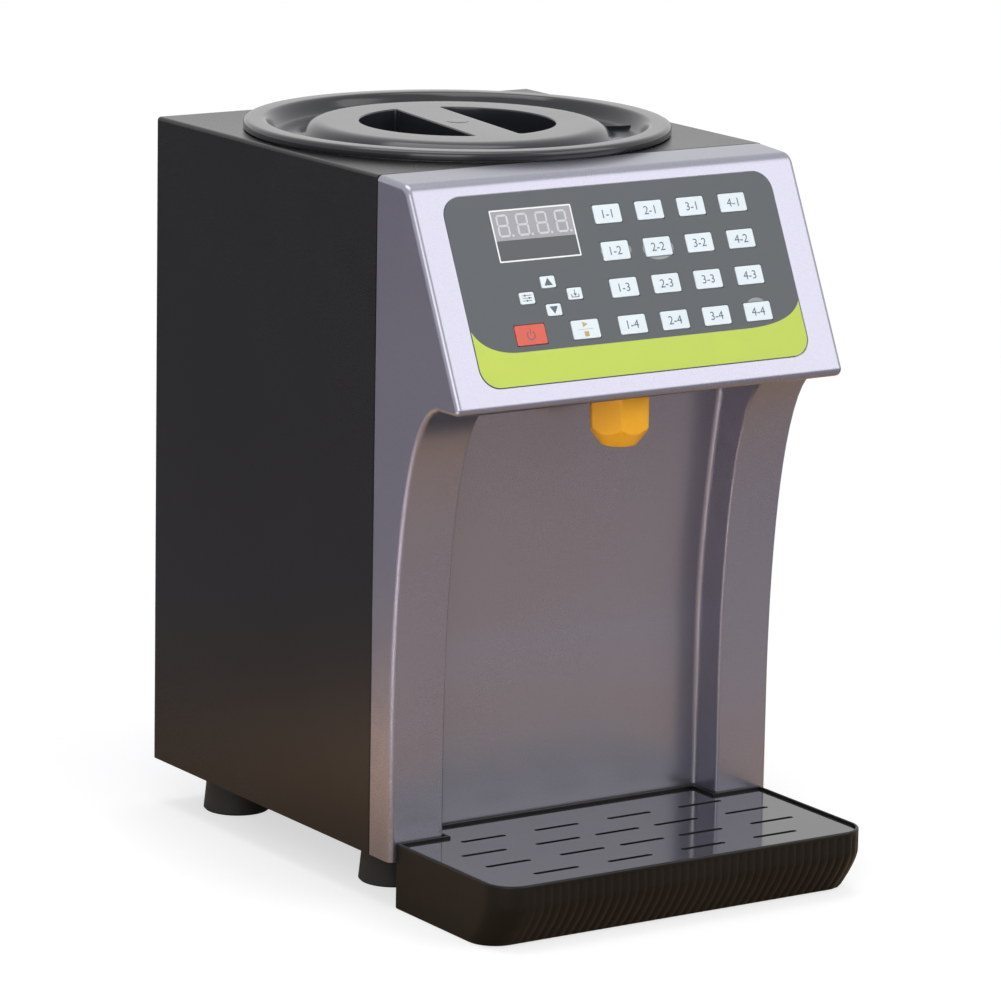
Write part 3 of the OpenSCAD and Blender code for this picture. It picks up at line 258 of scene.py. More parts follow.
def flat_shading_kept(obj, name):
    """Weights the normals by face area, so flat faces stay flat up to their rounded edges, and cuts
    faces of five sides or more into triangles."""
    weigh = obj.modifiers.new("normals", "WEIGHTED_NORMAL")
    weigh.keep_sharp, weigh.weight = True, 50
    cut = obj.modifiers.new("triangles", "TRIANGULATE")
    cut.min_vertices, cut.keep_custom_normals = 5, True
    plain = obj.data
    graph = bpy.context.evaluated_depsgraph_get()
    done = bpy.data.meshes.new_from_object(obj.evaluated_get(graph), depsgraph=graph)
    obj.modifiers.clear()
    obj.data = done
    bpy.data.meshes.remove(plain)
    done.name = name


MERGE_DIST, FLAT_ANGLE, EDGE_ANGLE = 0.002, radians(0.6), radians(30)


def eased(node, rules, into=PLACE_IN):
    """The CAD node with chosen edges rounded. Each rule is (radius, segments, test of the two ends)."""
    bm = bmesh.new()
    bm.from_mesh(NODES[node].data)
    bmesh.ops.transform(bm, matrix=into, verts=bm.verts)
    bmesh.ops.remove_doubles(bm, verts=bm.verts, dist=MERGE_DIST)
    bmesh.ops.dissolve_limit(bm, angle_limit=FLAT_ANGLE, verts=bm.verts, edges=bm.edges)
    for radius, segments, test in rules:
        chosen = [e for e in bm.edges if len(e.link_faces) == 2 and e.calc_face_angle(0) > EDGE_ANGLE
                  and test(e.verts[0].co, e.verts[1].co)]
        if chosen:
            bmesh.ops.bevel(bm, geom=chosen, offset=radius, offset_type="OFFSET", segments=segments,
                            profile=0.5, affect="EDGES", clamp_overlap=False)
    piece(node + "_eased", bm, SLOT_OF[node], place=into.inverted(), body=BODY_OF[node], replaces=(node,))


def both(test):
    """The test of one point, as a test of an edge's two ends."""
    return lambda a, b: test(a) and test(b)


def near(value, target, tolerance=0.05):
    return abs(value - target) < tolerance


def lofted(bm, loops, cap_start=True, cap_end=True):
    """Joins rings of as many points each into one skin."""
    rings = [[bm.verts.new(p) for p in loop] for loop in loops]
    n = len(rings[0])
    for low, high in zip(rings, rings[1:]):
        for i in range(n):
            j = (i + 1) % n
            bm.faces.new((low[i], low[j], high[j], high[i]))
    if cap_start:
        bm.faces.new(rings[0][::-1])
    if cap_end:
        bm.faces.new(rings[-1])
    return rings


def sheet_of(bm, outline, z0, z1):
    """A flat printed patch with a real edge, from an outline in the face's x and y."""
    lofted(bm, [[Vector((x, y, z)) for x, y in outline] for z in (z0, z1)])


def circle(r, z, n=160, cx=0, cy=0):
    return [Vector((cx + r * cos(2 * pi * i / n), cy + r * sin(2 * pi * i / n), z)) for i in range(n)]


# ---------------------------------------------------------------- casing, fascia, bay
HALF_W = 130.0                       # half the width of the casing and the fascia
CASING_D = 244                       # the casing's back, behind the seam
NEAR_TOP, NEAR_BOTTOM = 413.9, 27.1  # just inside the casing's top and its lower edge
NEAR_FRONT = -21                     # just behind the columns' front
COLUMN_X = 94                        # inner side of a column
PANEL_X = 93.7                       # side of the bay panel between the columns
PANEL_EDGE_LOW = 100                 # its sides are rounded from this height up
HEAD_LOW = 292                       # underside of the head


def on_sides(a, b, x):
    """Both ends lie on the same one of the two planes at plus and minus x."""
    return near(abs(a.x), x) and near(abs(b.x), x) and a.x * b.x > 0


def at_top(a, b):
    return a.z > NEAR_TOP and b.z > NEAR_TOP


def above_bottom(a, b):
    return a.z > NEAR_BOTTOM or b.z > NEAR_BOTTOM


def casing_edge(a, b):
    """The folded edges along the top and down the back; the front edge stays crisp at the seam."""
    at_back = near(a.y, CASING_D) and near(b.y, CASING_D)
    return on_sides(a, b, HALF_W) and (at_top(a, b) or at_back) or at_top(a, b) and at_back


def casing_front(p):
    return near(p.y, SEAM_GAP) and (near(abs(p.x), HALF_W) or p.z > NEAR_TOP)


eased("casing_shell", [(2.3, 5, casing_edge), (0.5, 2, both(casing_front))])


def fascia_side(a, b):
    return on_sides(a, b, HALF_W) and (a.y < -0.1 or b.y < -0.1) and above_bottom(a, b)


def fascia_inner(a, b):
    in_front = a.y < NEAR_FRONT and b.y < NEAR_FRONT
    below_head = a.z < HEAD_LOW - 0.1 or b.z < HEAD_LOW - 0.1
    return on_sides(a, b, COLUMN_X) and in_front and above_bottom(a, b) and below_head


def fascia_rear(a, b):
    return near(a.y, 0) and near(b.y, 0) and (on_sides(a, b, HALF_W) or at_top(a, b))


def panel_side(p):
    return near(abs(p.x), PANEL_X) and p.y < 0.1 and p.z > PANEL_EDGE_LOW


eased("front_fascia", [(3.4, 5, fascia_side), (2.0, 4, fascia_inner), (0.5, 2, fascia_rear)])
eased("bay_panel", [(0.8, 2, both(panel_side))])

PANEL_SWEEP, SWEEP_FROM, SWEEP_H = 19, 139.7, 152


def panel_y(z):
    """Front of the bay panel at height z: flat below, swept forward below the head."""
    return -PANEL_SWEEP * max(0.0, (z - SWEEP_FROM) / SWEEP_H) ** 1.6


# concave fillets between the bay panel and the columns, from just above the tray to just below the
# head; their feet lie FILLET_SINK off the column and the same depth behind the panel's front
FILLET_R, FILLET_SINK, FILLET_STEPS, FILLET_ARC = 3.2, 0.01, 40, 6
FILLET_LOW, FILLET_TOP = 39, HEAD_LOW - 0.4
bm = bmesh.new()
for side in (-1, 1):
    loops = []
    for i in range(FILLET_STEPS + 1):
        z = FILLET_LOW + (FILLET_TOP - FILLET_LOW) * i / FILLET_STEPS
        out = Vector((0, -1, panel_y(z + 0.5) - panel_y(z - 0.5))).normalized()
        foot = Vector((side * (COLUMN_X - FILLET_SINK), panel_y(z) + FILLET_SINK, z))
        loop = [foot]
        for k in range(FILLET_ARC + 1):
            a = pi / 2 * k / FILLET_ARC
            inward = Vector((-side * FILLET_R * (1 - sin(a)), 0, 0))
            loop.append(foot + inward + out * FILLET_R * (1 - cos(a)))
        loops.append(loop)
    lofted(bm, loops)
piece("bay_fillets", bm, "panel_silver", place=PLACE, sharp=50)

# ---------------------------------------------------------------- printed keypad
LABEL_W, LABEL_H, LABEL_R, LABEL_MID = 221.0, 109.5, 12.0, -63.85
RIM_X, RIM_TOP, RIM_LOW = 97, -12, -110


def on_rim(p):
    """On the label's outer edge, away from its openings."""
    return near(p.z, 0, 0.02) and (abs(p.x) > RIM_X or p.y > RIM_TOP or p.y < RIM_LOW)


eased("control_label", [(0.28, 3, both(on_rim))], into=FACE_IN)
CURVE_STEPS, CORNER_STEPS = 14, 10


def quadratic(p0, p1, p2):
    """Points along the quadratic curve with these three control points."""
    steps = [i / CURVE_STEPS for i in range(CURVE_STEPS + 1)]
    return [((1 - t) ** 2 * p0[0] + 2 * t * (1 - t) * p1[0] + t * t * p2[0],
             (1 - t) ** 2 * p0[1] + 2 * t * (1 - t) * p1[1] + t * t * p2[1]) for t in steps]


# the lime band along the label's foot, which stays BAND_IN inside the label's edge
BAND_IN = 0.45
half_w, low_y = LABEL_W / 2 - BAND_IN, LABEL_MID - LABEL_H / 2 + BAND_IN
r = LABEL_R - BAND_IN
turns = [pi / 2 * k / CORNER_STEPS for k in range(CORNER_STEPS + 1)]
band = quadratic((-half_w, -85.5), (-103.5, -99.6), (-80, -99.6))
band += quadratic((70, -99.6), (103, -99.6), (half_w, -86.5))
band += [(half_w - r + r * cos(-a), low_y + r + r * sin(-a)) for a in turns]
band += [(-half_w + r - r * sin(a), low_y + r - r * cos(a)) for a in turns]
bm = bmesh.new()
sheet_of(bm, band[::-1], -0.01, 0.035)
piece("label_band", bm, "label_lime", place=FACE)

# the keys, each as the middle's x and y on the face, width and height
KEY_TOP = 0.3
KEY_W, KEY_H, SMALL_W, SMALL_H = 18.0, 10.8, 9.6, 6.8
FIRST_X, FIRST_Y, PITCH_X, PITCH_Y = -4.5, -26.1, 28.5, 21.4
KEYS = {"key_%d_%d" % (c + 1, r + 1): (FIRST_X + PITCH_X * c, FIRST_Y - PITCH_Y * r, KEY_W, KEY_H)
        for c in range(4) for r in range(4)}
KEYS.update({"key_up": (-53.6, -61.6, SMALL_W, SMALL_H), "key_down": (-53.6, -77.6, SMALL_W, SMALL_H),
             "key_set": (-69.4, -69.6, SMALL_W, SMALL_H), "key_save": (-37.8, -69.6, SMALL_W, SMALL_H),
             "key_run": (-36.0, -90.3, KEY_W, KEY_H), "key_power": (-72.3, -90.3, 19.8, 11.5)})
for key in KEYS:
    eased(key, [(0.27, 3, both(lambda p: near(p.z, KEY_TOP, 0.02)))], into=FACE_IN)

# painted highlight beside three of the keys, where the label wrinkles over the snap domes and catches light:
# for each its offset from the key's middle and its two radii. They leave the key's own outline free.
TRACES = (("key_2_2", 0, -1.0, 10.3, 6.5), ("key_1_2", 0.3, 0, 10.2, 5.3), ("key_4_4", 0, 3.4, 6.6, 4.6))
TRACE_STEPS, KEY_CLEAR, THINNEST = 180, 0.35, 0.05


def trace_arcs(x, y, w, h, dx, dy, rx, ry):
    """The stretches of an ellipse outside a key's outline, as pairs of points: on the ellipse and,
    at the same angle, beside the key."""
    arcs, arc = [], []
    for i in range(TRACE_STEPS + 1):
        a = 2 * pi * (i + 0.5) / TRACE_STEPS - pi / 4
        c, s = cos(a), sin(a)
        edge = min((w / 2 + KEY_CLEAR) / max(abs(c), 1e-6), (h / 2 + KEY_CLEAR) / max(abs(s), 1e-6))
        # the distance to the ellipse is the larger root of qa t^2 + qb t + qc = 0
        qa = (c / rx) ** 2 + (s / ry) ** 2
        qb = -2 * (c * dx / rx ** 2 + s * dy / ry ** 2)
        qc = (dx / rx) ** 2 + (dy / ry) ** 2 - 1
        reach = (-qb + sqrt(max(0.0, qb * qb - 4 * qa * qc))) / (2 * qa)
        if reach > edge + THINNEST:
            arc.append(((x + reach * c, y + reach * s), (x + edge * c, y + edge * s)))
        elif arc:
            arcs.append(arc)
            arc = []
    return arcs + [arc] if arc else arcs


bm = bmesh.new()
for key, *ellipse in TRACES:
    for arc in trace_arcs(*KEYS[key], *ellipse):
        if len(arc) > 2:
            sheet_of(bm, [p[0] for p in arc] + [p[1] for p in arc[::-1]], -0.01, 0.025)
# the painted highlight patches over the snap domes, as thin sheets on the label
piece("dome_painted_highlights", bm, "label_painted_highlight", place=FACE)


def lettering(bm, text, x, y, height, z0, z1):
    """Digits from the built-in font as solid print, centred on x, y, with the given height."""
    curve = bpy.data.curves.new("digits", "FONT")
    curve.body, curve.size, curve.extrude, curve.resolution_u = text, 10.0, 0.5, 3
    temp = bpy.data.objects.new("digits", curve)
    bpy.context.scene.collection.objects.link(temp)
    mesh = bpy.data.meshes.new_from_object(temp.evaluated_get(bpy.context.evaluated_depsgraph_get()))
    bpy.data.objects.remove(temp)
    bpy.data.curves.remove(curve)
    xs, ys = [v.co.x for v in mesh.vertices], [v.co.y for v in mesh.vertices]
    k = height / (max(ys) - min(ys))
    mx, my = (max(xs) + min(xs)) / 2, (max(ys) + min(ys)) / 2
    for v in mesh.vertices:
        v.co = ((v.co.x - mx) * k + x, (v.co.y - my) * k + y, z0 if v.co.z < 0 else z1)
    bm.from_mesh(mesh)
    bpy.data.meshes.remove(mesh)


def polygon(bm, pts, x, y, z0, z1):
    sheet_of(bm, [(x + px, y + py) for px, py in pts], z0, z1)


def bar(bm, x0, x1, y0, y1, z0, z1):
    sheet_of(bm, [(x0, y0), (x1, y0), (x1, y1), (x0, y1)], z0, z1)


RING_STEPS = 28


def ring(bm, x, y, r0, r1, start, end, z0, z1):
    """Part of a flat ring between two radii and two angles."""
    arc = [start + (end - start) * i / RING_STEPS for i in range(RING_STEPS + 1)]
    sheet_of(bm, [(x + r1 * cos(a), y + r1 * sin(a)) for a in arc] +
             [(x + r0 * cos(a), y + r0 * sin(a)) for a in arc[::-1]], z0, z1)


INK = (KEY_TOP - 0.02, KEY_TOP + 0.03)      # the print on a key, from and to this height
DIGIT_PRINT_H = 4.9
for key, (x, y, w, h) in KEYS.items():
    bm = bmesh.new()
    ink = "print_dark"
    if key[4].isdigit():
        lettering(bm, key[4] + "-" + key[6], x, y, DIGIT_PRINT_H, *INK)
    elif key == "key_up":
        polygon(bm, [(-2.7, -2.0), (2.7, -2.0), (0, 2.4)], x, y, *INK)
    elif key == "key_down":
        polygon(bm, [(-2.7, 2.0), (0, -2.4), (2.7, 2.0)], x, y, *INK)
    elif key == "key_set":
        for dy, knob in ((1.5, -1.2), (0, 1.4), (-1.5, -0.2)):
            bar(bm, x - 3.0, x + 3.0, y + dy - 0.17, y + dy + 0.17, *INK)
            bar(bm, x + knob - 0.45, x + knob + 0.45, y + dy - 0.55, y + dy + 0.55, *INK)
    elif key == "key_save":
        bar(bm, x - 0.25, x + 0.25, y - 0.2, y + 2.2, *INK)
        polygon(bm, [(-1.2, 0), (0, -1.4), (1.2, 0)], x, y, *INK)
        polygon(bm, [(-2.6, -0.4), (-2.6, -2.2), (2.6, -2.2), (2.6, -0.4), (2.1, -0.4), (2.1, -1.75),
                     (-2.1, -1.75), (-2.1, -0.4)], x, y, *INK)
    elif key == "key_run":
        polygon(bm, [(-1.6, 1.2), (1.9, 2.75), (-1.6, 4.3)], x, y, *INK)
        bar(bm, x - 5.2, x + 5.2, y - 0.12, y + 0.12, *INK)
        bar(bm, x - 1.5, x + 1.5, y - 4.2, y - 1.3, *INK)
        ink = "print_amber"
    else:
        ring(bm, x, y - 0.3, 2.1, 2.75, radians(125), radians(415), *INK)
        bar(bm, x - 0.32, x + 0.32, y + 0.2, y + 3.2, *INK)
    piece("mark_" + key[4:], bm, ink, body=BODY_OF[key], place=FACE, sharp=60)

# ---------------------------------------------------------------- display
WINDOW_X, WINDOW_Y, WINDOW_W, WINDOW_H = -54.4, -33.5, 53.3, 29.3
# how far the printed frame reaches out past the window's edge and in over it, and its corners' steps
FRAME_OUT, FRAME_IN, FRAME_CORNER = 0.35, 0.5, 4
eased("display_window", [(0.15, 2, both(lambda p: near(p.z, 0, 0.02)))], into=FACE_IN)


def frame_loop(half_w, half_h, r, z):
    """A rectangle with rounded corners about the window's middle."""
    points = []
    for q, (sx, sy) in enumerate(((1, 1), (-1, 1), (-1, -1), (1, -1))):
        for k in range(FRAME_CORNER + 1):
            a = pi / 2 * (q + k / FRAME_CORNER)
            points.append(Vector((WINDOW_X + sx * (half_w - r) + r * cos(a),
                                  WINDOW_Y + sy * (half_h - r) + r * sin(a), z)))
    return points


bm = bmesh.new()
out_w, in_w = WINDOW_W / 2 + FRAME_OUT, WINDOW_W / 2 - FRAME_IN
out_h, in_h = WINDOW_H / 2 + FRAME_OUT, WINDOW_H / 2 - FRAME_IN
outer = [frame_loop(out_w, out_h, 0.7, z) for z in (0.0, 0.05)]
inner = [frame_loop(in_w, in_h, 0.3, z) for z in (0.05, 0.0)]
rings = lofted(bm, outer + inner, False, False)
for i in range(len(rings[0])):
    j = (i + 1) % len(rings[0])
    bm.faces.new((rings[-1][i], rings[-1][j], rings[0][j], rings[0][i]))
piece("display_frame", bm, "print_white", place=FACE)

FIELD_IN, FIELD_LOW = 0.05, -36.2
bm = bmesh.new()
bar(bm, WINDOW_X - in_w + FIELD_IN, WINDOW_X + in_w - FIELD_IN, FIELD_LOW, WINDOW_Y + in_h - FIELD_IN,
    -0.01, 0.02)
piece("digit_panel", bm, "digit_field", place=FACE)

DIGIT_W, DIGIT_H, BAR_T, BAR_GAP = 6.6, 13.0, 1.15, 0.16
DIGIT_FIRST, DIGIT_PITCH, DIGIT_Y = -19.6, 12.8, -27.7
POINT_R, POINT_X = 0.75, 1.9


def segment(bm, x0, y0, x1, y1):
    """A pointed bar of a seven-segment digit."""
    along = (Vector((x1, y1)) - Vector((x0, y0))).normalized()
    across = Vector((-along.y, along.x)) * BAR_T / 2
    a, b = Vector((x0, y0)) + along * BAR_GAP, Vector((x1, y1)) - along * BAR_GAP
    tip = along * BAR_T / 2
    outline = (a, a + tip - across, b - tip - across, b, b - tip + across, a + tip + across)
    sheet_of(bm, [tuple(p) for p in outline], 0.0, 0.04)


bm = bmesh.new()
for k in range(4):
    cx, cy = WINDOW_X + DIGIT_FIRST + DIGIT_PITCH * k, DIGIT_Y
    xl, xr = cx - DIGIT_W / 2, cx + DIGIT_W / 2
    yb, yt = cy - DIGIT_H / 2 + BAR_T / 2, cy + DIGIT_H / 2 - BAR_T / 2
    for ends in ((xl, yt, xr, yt), (xl, cy, xr, cy), (xl, yb, xr, yb), (xl, cy, xl, yt),
                 (xr, cy, xr, yt), (xl, yb, xl, cy), (xr, yb, xr, cy)):
        segment(bm, *ends)
    lofted(bm, [circle(POINT_R, z, 12, xr + POINT_X, yb) for z in (0.0, 0.04)])
piece("digit_segments", bm, "digit_segment", place=FACE)

# ---------------------------------------------------------------- lid
LID_Y = 121
LID = PLACE @ Matrix.Translation((0, LID_Y, 0))
POCKET_R, GRIP_HALF, POCKET_CORNER = 57, 14, 1.6
POCKET_STEPS, POCKET_CORNER_STEPS = 40, 5


def pocket_loop(grow, z, turn):
    """Outline of a finger pocket: a circle's segment beside the grip bar, with small corner rounds."""
    radius, rc = POCKET_R + grow, max(0.3, POCKET_CORNER + grow)
    xc = GRIP_HALF - grow + rc
    yc = sqrt((radius - rc) ** 2 - xc ** 2)
    top = atan2(yc, xc)
    swing = [(top - pi) * k / POCKET_CORNER_STEPS for k in range(POCKET_CORNER_STEPS + 1)]
    points = [(xc + rc * cos(pi + a), yc + rc * sin(pi + a)) for a in swing]
    points += [(radius * cos(a), radius * sin(a))
               for a in (top - 2 * top * k / POCKET_STEPS for k in range(1, POCKET_STEPS))]
    points += [(xc + rc * cos(-top + a), -yc + rc * sin(-top + a)) for a in swing]
    turned = Matrix.Rotation(turn, 2)
    return [Vector((*(turned @ Vector(p)), z)) for p in points]


def flat_with_pockets(bm, outer, loops):
    """Fills a flat ring between the lid's circle and its two pockets."""
    edges = []
    for loop in [outer] + loops:
        for a, b in zip(loop, loop[1:] + loop[:1]):
            edges.append(bm.edges.get((a, b)) or bm.edges.new((a, b)))
    bmesh.ops.triangle_fill(bm, edges=edges, use_beauty=True, use_dissolve=False)


# sections as pairs: radius and height for the skin and the ribs, growth and height for the pockets
SKIN = [(77, 419), (80, 418.9), (82.5, 418.4), (84.8, 417.4), (86.8, 415.7), (88.4, 413.6), (89.8, 412.0),
        (91.5, 411.2), (94, 411), (102, 411), (104.6, 411.3), (106.3, 412.4), (107.8, 414.4),
        (109.3, 416.9), (110.6, 418.8), (111.8, 419.7), (113.4, 420), (120.6, 420), (122.2, 419.8),
        (123.3, 419.2), (123.85, 418.3), (124, 417.2), (124, 415.2), (123.6, 414.6), (122.4, 414.5),
        (122, 414.8), (122, 416.3), (112.5, 416.3), (112.5, 417.2), (110.2, 415.8), (107.6, 410.2),
        (105, 408.6), (92, 408.6), (88.6, 409.8), (84.6, 414.4), (81.6, 416.4), (77, 416.6)]
POCKET_UPPER = [(0.9, 419), (0.45, 418.88), (0.12, 418.55), (0, 418.1), (-0.4, 412), (-0.8, 404.4),
                (-1.2, 403), (-2.2, 402.2), (-4, 402)]
POCKET_LOWER = [(3.2, 416.6), (2.6, 416.0), (2.3, 404), (1.2, 400.6), (-1, 399.6)]
RIB = [(89.0, 411.0), (106.2, 411.0), (106.9, 413.2), (100, 412.9), (88.3, 413.4)]
RIB_HALF = 0.7

bm = bmesh.new()
rings = lofted(bm, [circle(r, z) for r, z in SKIN], False, False)
tops, lows = [], []
for turn in (radians(-8), radians(172)):
    tops.append(lofted(bm, [pocket_loop(g, z, turn) for g, z in POCKET_UPPER], False, True)[0])
    lows.append(lofted(bm, [pocket_loop(g, z, turn) for g, z in POCKET_LOWER], False, True)[0])
flat_with_pockets(bm, rings[0], tops)
flat_with_pockets(bm, rings[-1], lows)
for turn in (radians(188), radians(-14)):
    c, s = cos(turn), sin(turn)
    lofted(bm, [[Vector((r * c - t * s, r * s + t * c, z)) for r, z in RIB] for t in (-RIB_HALF, RIB_HALF)])
lofted(bm, [circle(r, z, 40) for r, z in ((6.6, 418.9), (6.5, 419.1), (6.1, 419.2), (2, 419.16))])
piece("lid_moulding", bm, "lid_black", body="lid", place=LID, replaces=("lid",), sharp=38)

# ---------------------------------------------------------------- nozzle
NOZZLE_Y, NOZZLE_TOP = -50, 291.5
# just inside the end's rim and the six flats, and the least rise of an upright edge
END_RIM, FLATS, UPRIGHT = 9.5, 15, 5


def off_axis(p):
    return hypot(p.x, p.y - NOZZLE_Y)


def nozzle_edge(a, b):
    """The outer edges below the head, and the upright ones between the six sides."""
    outer = all(off_axis(p) > END_RIM and p.z < NOZZLE_TOP for p in (a, b))
    return outer or abs(a.z - b.z) > UPRIGHT and off_axis(a) > FLATS


eased("nozzle", [(0.9, 3, nozzle_edge)])

# ---------------------------------------------------------------- drip tray
FLUTES, FLUTE_PITCH, FLUTE_DEPTH, FLUTE_STEPS = 38, 5.7, 0.9, 8
FADE_LENGTH, FADE_PAST = 18, 4                  # the flutes fade out towards the left corner
TRAY_X, TRAY_REACH, TRAY_R = 125.5, 129.5, 17
TONGUE_X, TONGUE_BACK, SHOULDER = 92.5, -1, -21.9    # it goes in between the columns up to its shoulders
SIDE_MID, CORNER_ARC = -60.0, 26.7              # a point partway along the side; the length of a corner
UNDERCUT, UNDERCUT_H = 16, 25
RIGHT_STEPS, LEFT_STEPS = 24, 12


def undercut(z):
    """How far the front lies back at height z, below its upright band."""
    return UNDERCUT * max(0.0, (UNDERCUT_H - z) / UNDERCUT_H) ** 1.35


def tray_ring(inset, z, flute=0.0):
    """One level of the tray: how far it lies in from the outer face, and how deep the front's grooves are.
    Each point has its outward normal and its distance along the front, where it may be grooved."""
    back_in = undercut(z)
    front, r = TRAY_REACH - back_in - inset, TRAY_R - inset
    xc, yc = TRAY_X - TRAY_R, -(TRAY_REACH - back_in - TRAY_R)
    side, tongue, shoulder = TRAY_X - inset, TONGUE_X - inset, SHOULDER - inset
    points = [(x, y, None, 0) for x, y in (
        (-tongue, TONGUE_BACK - inset), (tongue, TONGUE_BACK - inset), (tongue, shoulder),
        (side, shoulder), (side, SIDE_MID), (side, yc + 2))]
    for k in range(RIGHT_STEPS + 1):
        a = -pi / 2 * k / RIGHT_STEPS
        along = -(CORNER_ARC - TRAY_R * pi / 2 * k / RIGHT_STEPS)
        points.append((xc + r * cos(a), yc + r * sin(a), (cos(a), sin(a)), along))
    n = FLUTES * FLUTE_STEPS
    for k in range(1, n):
        points.append((xc - 2 * xc * k / n, -front, (0, -1), 2 * xc * k / n))
    for k in range(LEFT_STEPS + 1):
        a = -pi / 2 - pi / 2 * k / LEFT_STEPS
        points.append((-xc + r * cos(a), yc + r * sin(a), None, 0))
    points += [(x, y, None, 0) for x, y in (
        (-side, yc + 2), (-side, SIDE_MID), (-side, shoulder), (-tongue, shoulder))]
    level = []
    for x, y, normal, along in points:
        if flute and normal:
            fade = min(1.0, max(0.0, (2 * xc + FADE_PAST - along) / FADE_LENGTH))
            depth = flute * fade * (1 - abs(sin(pi * along / FLUTE_PITCH)) ** 0.75)
            x, y = x - normal[0] * depth, y - normal[1] * depth
        level.append(Vector((x, y, z)))
    return level


# (inset, height, flute depth) up the outer face, then (inset, height) over the rim and down inside
FRONT_LOW, FRONT_H, FRONT_LEVELS = 2, 32.4, 22
levels = [(0.9, 0.0, 0.0), (0.35, 0.25, 0.4), (0.0, 0.9, FLUTE_DEPTH)]
levels += [(0.0, FRONT_LOW + FRONT_H * k / FRONT_LEVELS, FLUTE_DEPTH) for k in range(FRONT_LEVELS + 1)]
levels += [(0.0, 35.0, 0.8), (0.0, 35.7, 0.35)]
levels += [(0.0, 36.2), (0.0, 37.0), (0.12, 37.5), (0.45, 37.88), (0.9, 38.0), (1.5, 38.0), (1.72, 37.9),
           (1.8, 37.7), (1.8, 33.2), (2.5, 33.2), (2.5, 25.0), (2.5, 20.0), (2.5, 14.0), (2.5, 8.0),
           (2.7, 4.0), (3.6, 2.7), (5.0, 2.5)]
# four posts carry the plate
POSTS = [(x, y) for x in (-62, 62) for y in (-45, -95)]
POST = ((4.6, 2.4), (4.0, 3.4), (4.0, 32.8), (3.6, 33.2))
bm = bmesh.new()
lofted(bm, [tray_ring(*level) for level in levels])
for x, y in POSTS:
    lofted(bm, [circle(r, z, 24, x, y) for r, z in POST])
piece("tray_moulding", bm, "tray_black", body="drip_tray", place=PLACE, replaces=("drip_tray",), sharp=42)

GRID_TOP, GRID_X, GRID_FRONT, GRID_BACK = 36.5, 116, -112, -26


def grid_rim(p):
    """On the plate's upper outline, away from its slots."""
    return near(p.z, GRID_TOP) and (abs(p.x) > GRID_X or p.y < GRID_FRONT or p.y > GRID_BACK)


eased("drip_grid", [(0.3, 2, both(grid_rim))])

# ---------------------------------------------------------------- stage and light
scene = bpy.context.scene


def floor_look():
    """Paper that is brown near the object and grey further out, for reflections and bounced light.
    The camera sees it level grey with a light of its own, and white further out."""
    m, tree, bsdf = shader("floor_paper")
    coords = tree.nodes.new("ShaderNodeTexCoord").outputs["Object"]
    paper = noise(tree, coords, 30, 4)
    near_far = tree.nodes.new("ShaderNodeMix")
    near_far.data_type = "RGBA"
    near_far.inputs[6].default_value = (0.55, 0.375, 0.245, 1)
    near_far.inputs[7].default_value = (0.37, 0.35, 0.385, 1)
    link(tree, near_far.outputs[2], bsdf.inputs["Base Color"])
    link(tree, ranged(tree, paper, 0.55, 0.7), bsdf.inputs["Roughness"])
    bsdf.inputs["Specular IOR Level"].default_value = 0.2
    shown = tree.nodes.new("ShaderNodeBsdfDiffuse")
    shown.inputs["Color"].default_value = (0.5, 0.5, 0.5, 1)
    lift = tree.nodes.new("ShaderNodeEmission")
    lift.inputs["Strength"].default_value = 0.62
    add = tree.nodes.new("ShaderNodeAddShader")
    far_white = tree.nodes.new("ShaderNodeEmission")
    length = tree.nodes.new("ShaderNodeVectorMath")
    length.operation = "LENGTH"
    distance = length.outputs["Value"]
    link(tree, coords, length.inputs[0])
    link(tree, ranged(tree, distance, 0, 1, 0.3, 0.75), near_far.inputs[0])
    link(tree, shown.outputs[0], add.inputs[0])
    link(tree, lift.outputs[0], add.inputs[1])
    fade = tree.nodes.new("ShaderNodeMixShader")
    link(tree, ranged(tree, distance, 0, 1, 0.32, 0.8), fade.inputs[0])
    link(tree, add.outputs[0], fade.inputs[1])
    link(tree, far_white.outputs[0], fade.inputs[2])
    seen = tree.nodes.new("ShaderNodeMixShader")
    path = tree.nodes.new("ShaderNodeLightPath")
    link(tree, path.outputs["Is Camera Ray"], seen.inputs[0])
    link(tree, bsdf.outputs[0], seen.inputs[1])
    link(tree, fade.outputs[0], seen.inputs[2])
    link(tree, seen.outputs[0], tree.nodes["Material Output"].inputs["Surface"])
    return m


floor_mesh = bpy.data.meshes.new("floor")
bm = bmesh.new()
bmesh.ops.create_grid(bm, x_segments=8, y_segments=8, size=30)
bm.to_mesh(floor_mesh)
bm.free()
floor = bpy.data.objects.new("floor", floor_mesh)
scene.collection.objects.link(floor)
floor.data.materials.append(floor_look())


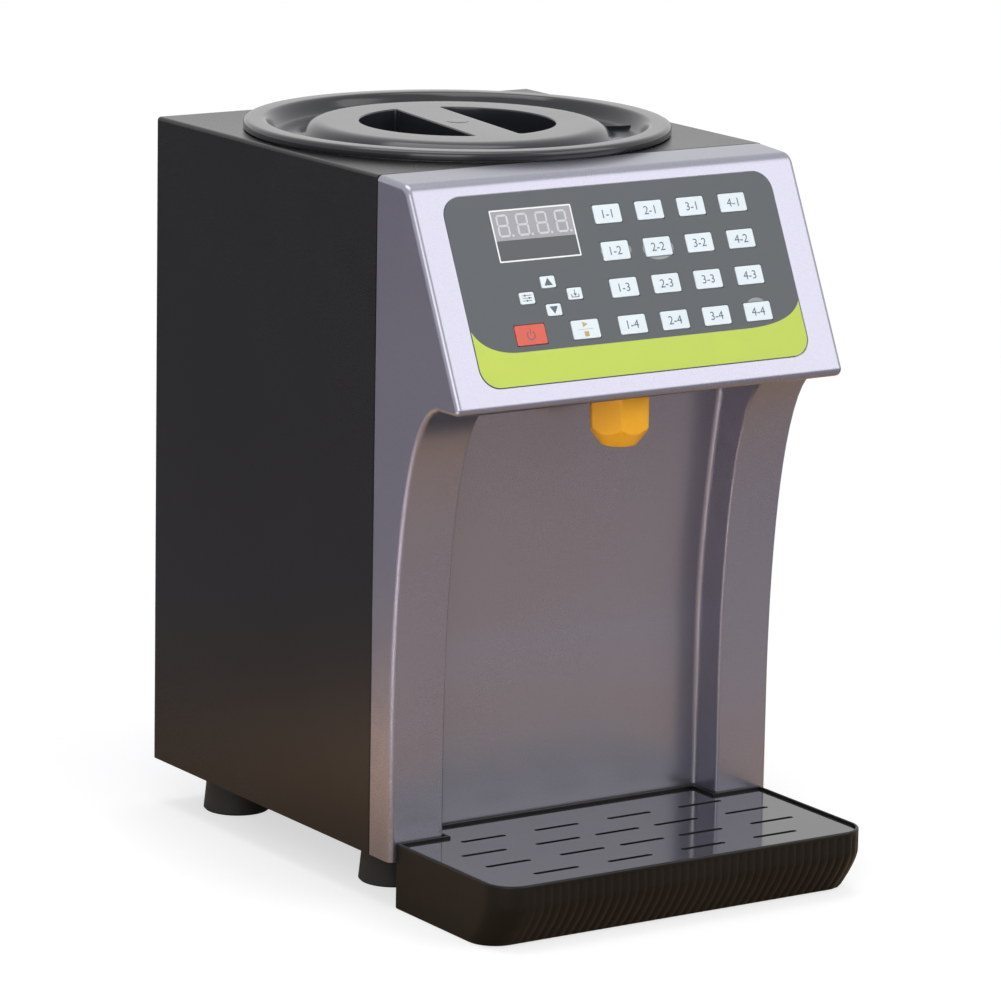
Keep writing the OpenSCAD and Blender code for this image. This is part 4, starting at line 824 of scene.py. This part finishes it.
def studio():
    """A backdrop that is white to the camera, in reflections and through clear pieces, and gives soft
    level light otherwise."""
    world = bpy.data.worlds.new("studio")
    scene.world = world
    world.use_nodes = True
    tree = world.node_tree
    tree.nodes.clear()
    out = tree.nodes.new("ShaderNodeOutputWorld")
    mix = tree.nodes.new("ShaderNodeMixShader")
    soft, white = tree.nodes.new("ShaderNodeBackground"), tree.nodes.new("ShaderNodeBackground")
    white.inputs["Color"].default_value = (1, 1, 1, 1)
    soft.inputs["Color"].default_value = (0.93, 0.95, 1.0, 1)
    soft.inputs["Strength"].default_value = 0.5
    path = tree.nodes.new("ShaderNodeLightPath")
    shows = tree.nodes.new("ShaderNodeMath")
    shows.operation = "MAXIMUM"
    clear = tree.nodes.new("ShaderNodeMath")
    clear.operation = "MAXIMUM"
    link(tree, path.outputs["Is Camera Ray"], shows.inputs[0])
    link(tree, path.outputs["Is Glossy Ray"], shows.inputs[1])
    link(tree, shows.outputs[0], clear.inputs[0])
    link(tree, path.outputs["Is Transmission Ray"], clear.inputs[1])
    link(tree, clear.outputs[0], mix.inputs[0])
    link(tree, soft.outputs[0], mix.inputs[1])
    link(tree, white.outputs[0], mix.inputs[2])
    link(tree, mix.outputs[0], out.inputs["Surface"])


studio()


def area(name, place, look_at, size, watts, color=(1, 1, 1), spread=None):
    """A square lamp at a place, turned to a point; spread narrows its beam to that many degrees."""
    data = bpy.data.lights.new(name, "AREA")
    data.shape = "RECTANGLE"
    data.size = data.size_y = size
    data.energy, data.color = watts, color
    if spread:
        data.spread = radians(spread)
    lamp = bpy.data.objects.new(name, data)
    scene.collection.objects.link(lamp)
    lamp.location = place
    lamp.rotation_euler = (Vector(look_at) - Vector(place)).to_track_quat("-Z", "Y").to_euler()


area("key", (1.25, -1.6, 1.55), (0, -0.05, 0.3), 1.9, 21.5, (1.0, 0.99, 0.965))
area("fill", (-1.2, -1.3, 0.9), (0, -0.15, 0.15), 1.0, 9, (1.0, 0.98, 0.95))
# these two shine straight down beside the object and light the floor alone
area("bounce", (-0.95, -0.55, 0.7), (-0.95, -0.55, 0), 0.6, 17, (1.0, 0.96, 0.9), spread=75)
area("warm", (-0.42, 0.16, 0.4), (-0.42, 0.16, 0), 0.25, 0.42, (1.0, 0.84, 0.64), spread=50)
area("top", (-0.1, 0.2, 1.9), (0, 0.0, 0.3), 1.2, 11)
